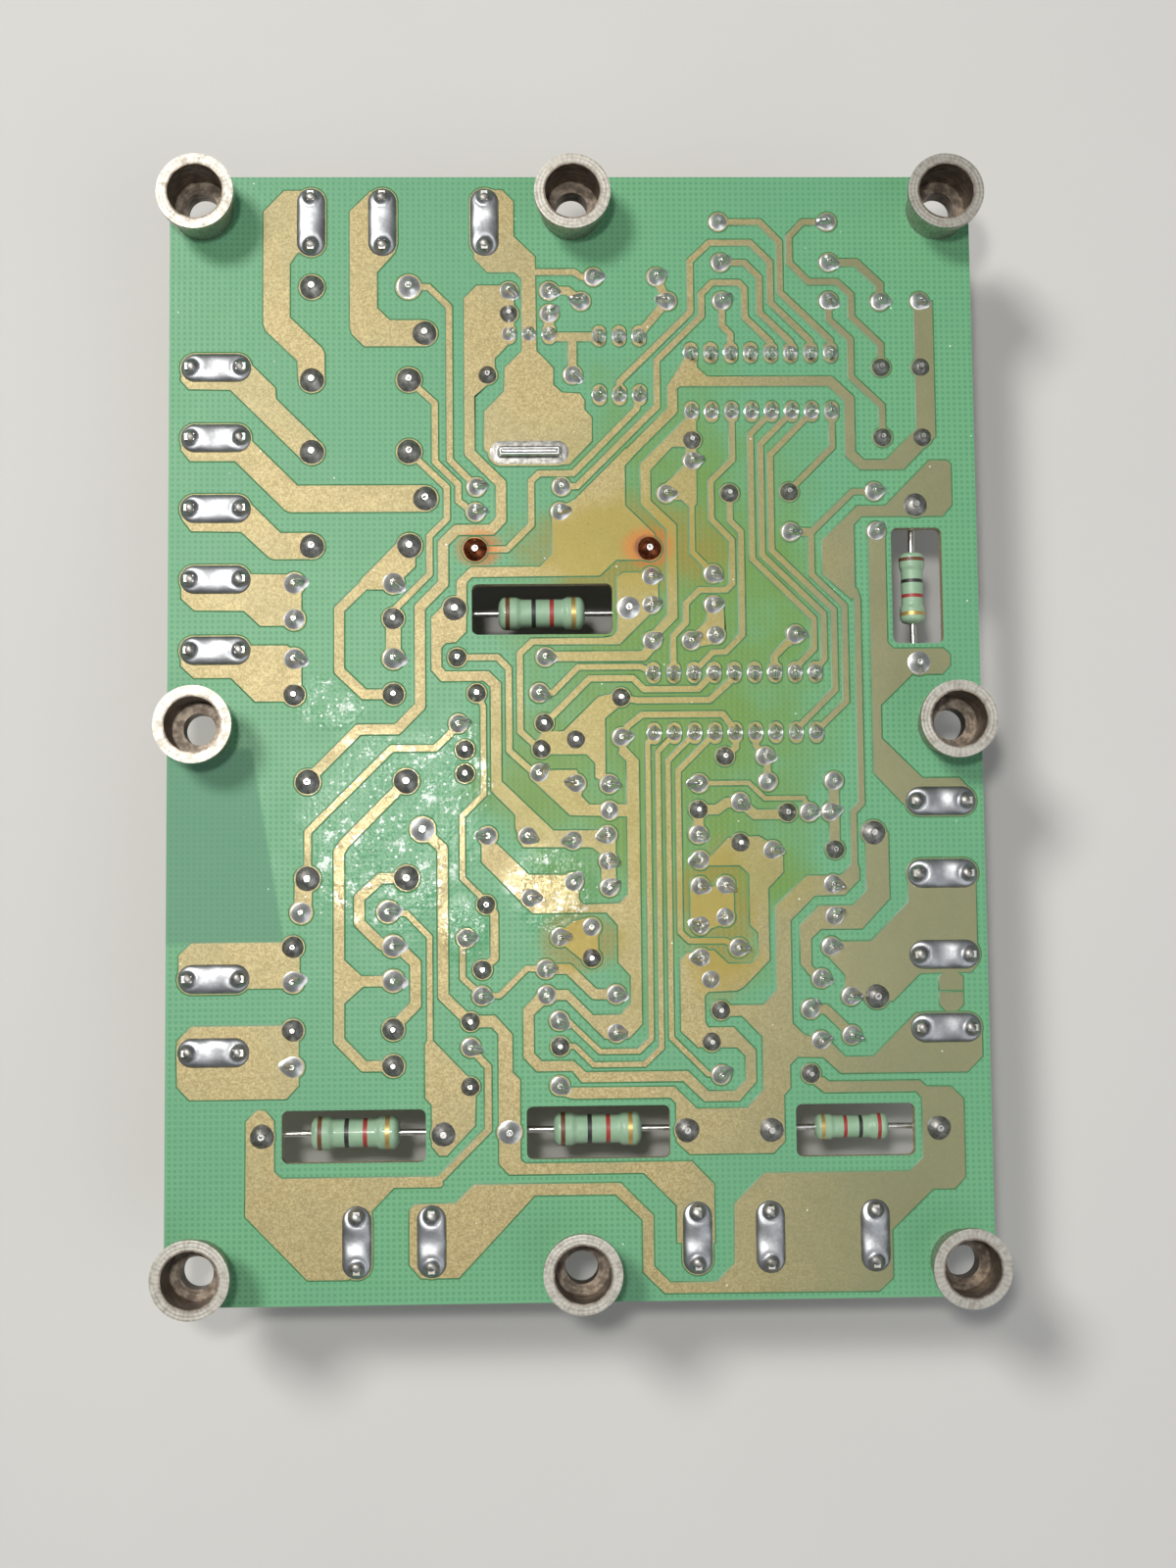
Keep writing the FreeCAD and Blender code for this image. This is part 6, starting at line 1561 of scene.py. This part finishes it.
@dataclass
class Relays:
    """Three relays with their works inside."""

    wardrobe: Wardrobe
    count: int = 3
    soft_edge: float = 0.5 * MM
    finishes: dict[str, Finish] = field(
        default_factory=lambda: {
            "cover": Finish.RELAY_CASE, "base": Finish.RELAY_CASE, "bobbin": Finish.BOBBIN,
            "winding": Finish.WIRE, "yoke": Finish.STEEL, "terminals": Finish.LEAD,
            "armature": Finish.STEEL, "contact_spring": Finish.SPRING,
        }
    )

    def build(self, nodes: Nodes) -> list[bpy.types.Object]:
        """Dresses every part of every relay.

        Args:
            nodes: the nodes of the frame, by name.

        Returns:
            The pieces that show.
        """
        pieces = []
        for number in range(1, self.count + 1):
            for part, finish in self.finishes.items():
                piece = nodes[f"relay_{number}_{part}"]
                self.wardrobe.dress(piece, finish)
                pieces.append(piece)
            soften(nodes[f"relay_{number}_cover"], self.soft_edge)
        return pieces


@dataclass
class Spacers:
    """Flared spacers pressed into the board."""

    bore: float = 3.4
    soft_edge: float = 0.16 * MM

    def build(self, nodes: Nodes) -> list[bpy.types.Object]:
        """Dresses and softens each spacer.

        Args:
            nodes: the nodes of the frame, by name.

        Returns:
            The pieces that show.
        """
        pieces = []
        for name, node in nodes.items():
            if name.startswith("spacer_"):
                low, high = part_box(name)
                middle = (low + high) / (2 * MM)
                put_on(node, SpacerFinish(f"{name}_nickel", (middle.x, middle.y), self.bore).build())
                soften(node, self.soft_edge)
                pieces.append(node)
        return pieces


def soften(piece: bpy.types.Object, width: float) -> None:
    """Rounds the sharp edges of a piece.

    Args:
        piece: the piece.
        width: width of the rounding.
    """
    bevel = piece.modifiers.new("soft_edges", "BEVEL")
    bevel.width = width
    bevel.segments = 3
    bevel.limit_method = "ANGLE"
    bevel.angle_limit = math.radians(SHARP_ANGLE)
    bevel.harden_normals = False


# ---- Floor, lights and camera ----
@dataclass(frozen=True)
class Lamp:
    """A soft square light aimed at the board."""

    name: str
    place: Triple
    power: float
    size: float
    colour: Colour = (1.0, 1.0, 1.0)

    def build(self) -> None:
        """Makes the light."""
        data = bpy.data.lights.new(self.name, "AREA")
        data.energy = self.power
        data.size = self.size
        data.color = self.colour
        lamp = bpy.data.objects.new(self.name, data)
        lamp.location = self.place
        lamp.rotation_euler = (-Vector(self.place)).to_track_quat("-Z", "Y").to_euler()
        bpy.context.scene.collection.objects.link(lamp)


@dataclass
class Studio:
    """Pale floor, soft lights and the camera over the board."""

    floor_size: float = 3.0
    floor_drop: float = 0.0002
    eye: Triple = (-5.76, -27.89, 255.14)
    gaze: Triple = (0.0278, 0.0811, -0.9963)
    top: Triple = (0.0084, 0.9967, 0.0813)
    focal_share: float = 1.3125
    sky: Colour = (0.80, 0.84, 0.90)
    sky_strength: float = 0.2
    lamps: tuple[Lamp, ...] = (
        Lamp("key", (-0.48, 0.42, 1.00), 8.8, 0.25, (1.0, 0.985, 0.95)),
        Lamp("glint", (-0.045, 0.025, 0.42), 0.60, 0.03, (1.0, 0.98, 0.94)),
        Lamp("fill", (0.45, -0.35, 0.70), 1.7, 0.7, (0.94, 0.97, 1.0)),
    )

    def build(self) -> None:
        """Makes the whole setting."""
        self._floor()
        for lamp in self.lamps:
            lamp.build()
        self._world()
        self._camera()

    def _floor(self) -> None:
        """Pale floor under the tallest parts."""
        half = self.floor_size / 2
        corners = [(-half, -half, 0), (half, -half, 0), (half, half, 0), (-half, half, 0)]
        mesh = bpy.data.meshes.new("floor")
        mesh.from_pydata(corners, [], [(0, 1, 2, 3)])
        floor = bpy.data.objects.new("floor", mesh)
        floor.location.z = -self.floor_drop
        bpy.context.scene.collection.objects.link(floor)
        g = Graph("pale_floor")
        colour = g.blend(g.noise(0.02), (0.58, 0.57, 0.55), (0.61, 0.60, 0.58))
        put_on(floor, g.finish(Base_Color=colour, Roughness=0.75))

    def _world(self) -> None:
        """Even, dim surrounding light."""
        world = bpy.data.worlds.new("studio")
        world.use_nodes = True
        background = world.node_tree.nodes["Background"]
        background.inputs[0].default_value = rgba(self.sky)
        background.inputs[1].default_value = self.sky_strength
        bpy.context.scene.world = world
        bpy.context.scene.view_settings.view_transform = "Standard"

    def _camera(self) -> None:
        """Camera almost straight over the solder side."""
        data = bpy.data.cameras.new("camera")
        data.sensor_fit = "VERTICAL"
        data.sensor_height = 24.0
        data.lens = self.focal_share * data.sensor_height
        data.clip_start = 0.01
        camera = bpy.data.objects.new("camera", data)
        back = -Vector(self.gaze).normalized()
        right = Vector(self.top).cross(back).normalized()
        up = back.cross(right)
        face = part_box("board")[1].z
        place = Vector(self.eye) * MM + Vector((0, 0, face))
        camera.matrix_world = Matrix.Translation(place) @ Matrix((right, up, back)).transposed().to_4x4()
        bpy.context.scene.collection.objects.link(camera)
        bpy.context.scene.camera = camera


def main() -> None:
    """Builds the board in order and reports each piece."""
    logging.basicConfig(level=logging.INFO, format="%(message)s")
    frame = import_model()
    nodes = frame["nodes"]
    wardrobe = Wardrobe()
    for sub_assembly in (SolderSide(wardrobe), ComponentSide(wardrobe), Relays(wardrobe), Spacers()):
        for piece in sub_assembly.build(nodes):
            LOG.info("%s: %d faces", piece.name, len(piece.data.polygons))
    Studio().build()


if __name__ == "__main__":
    main()
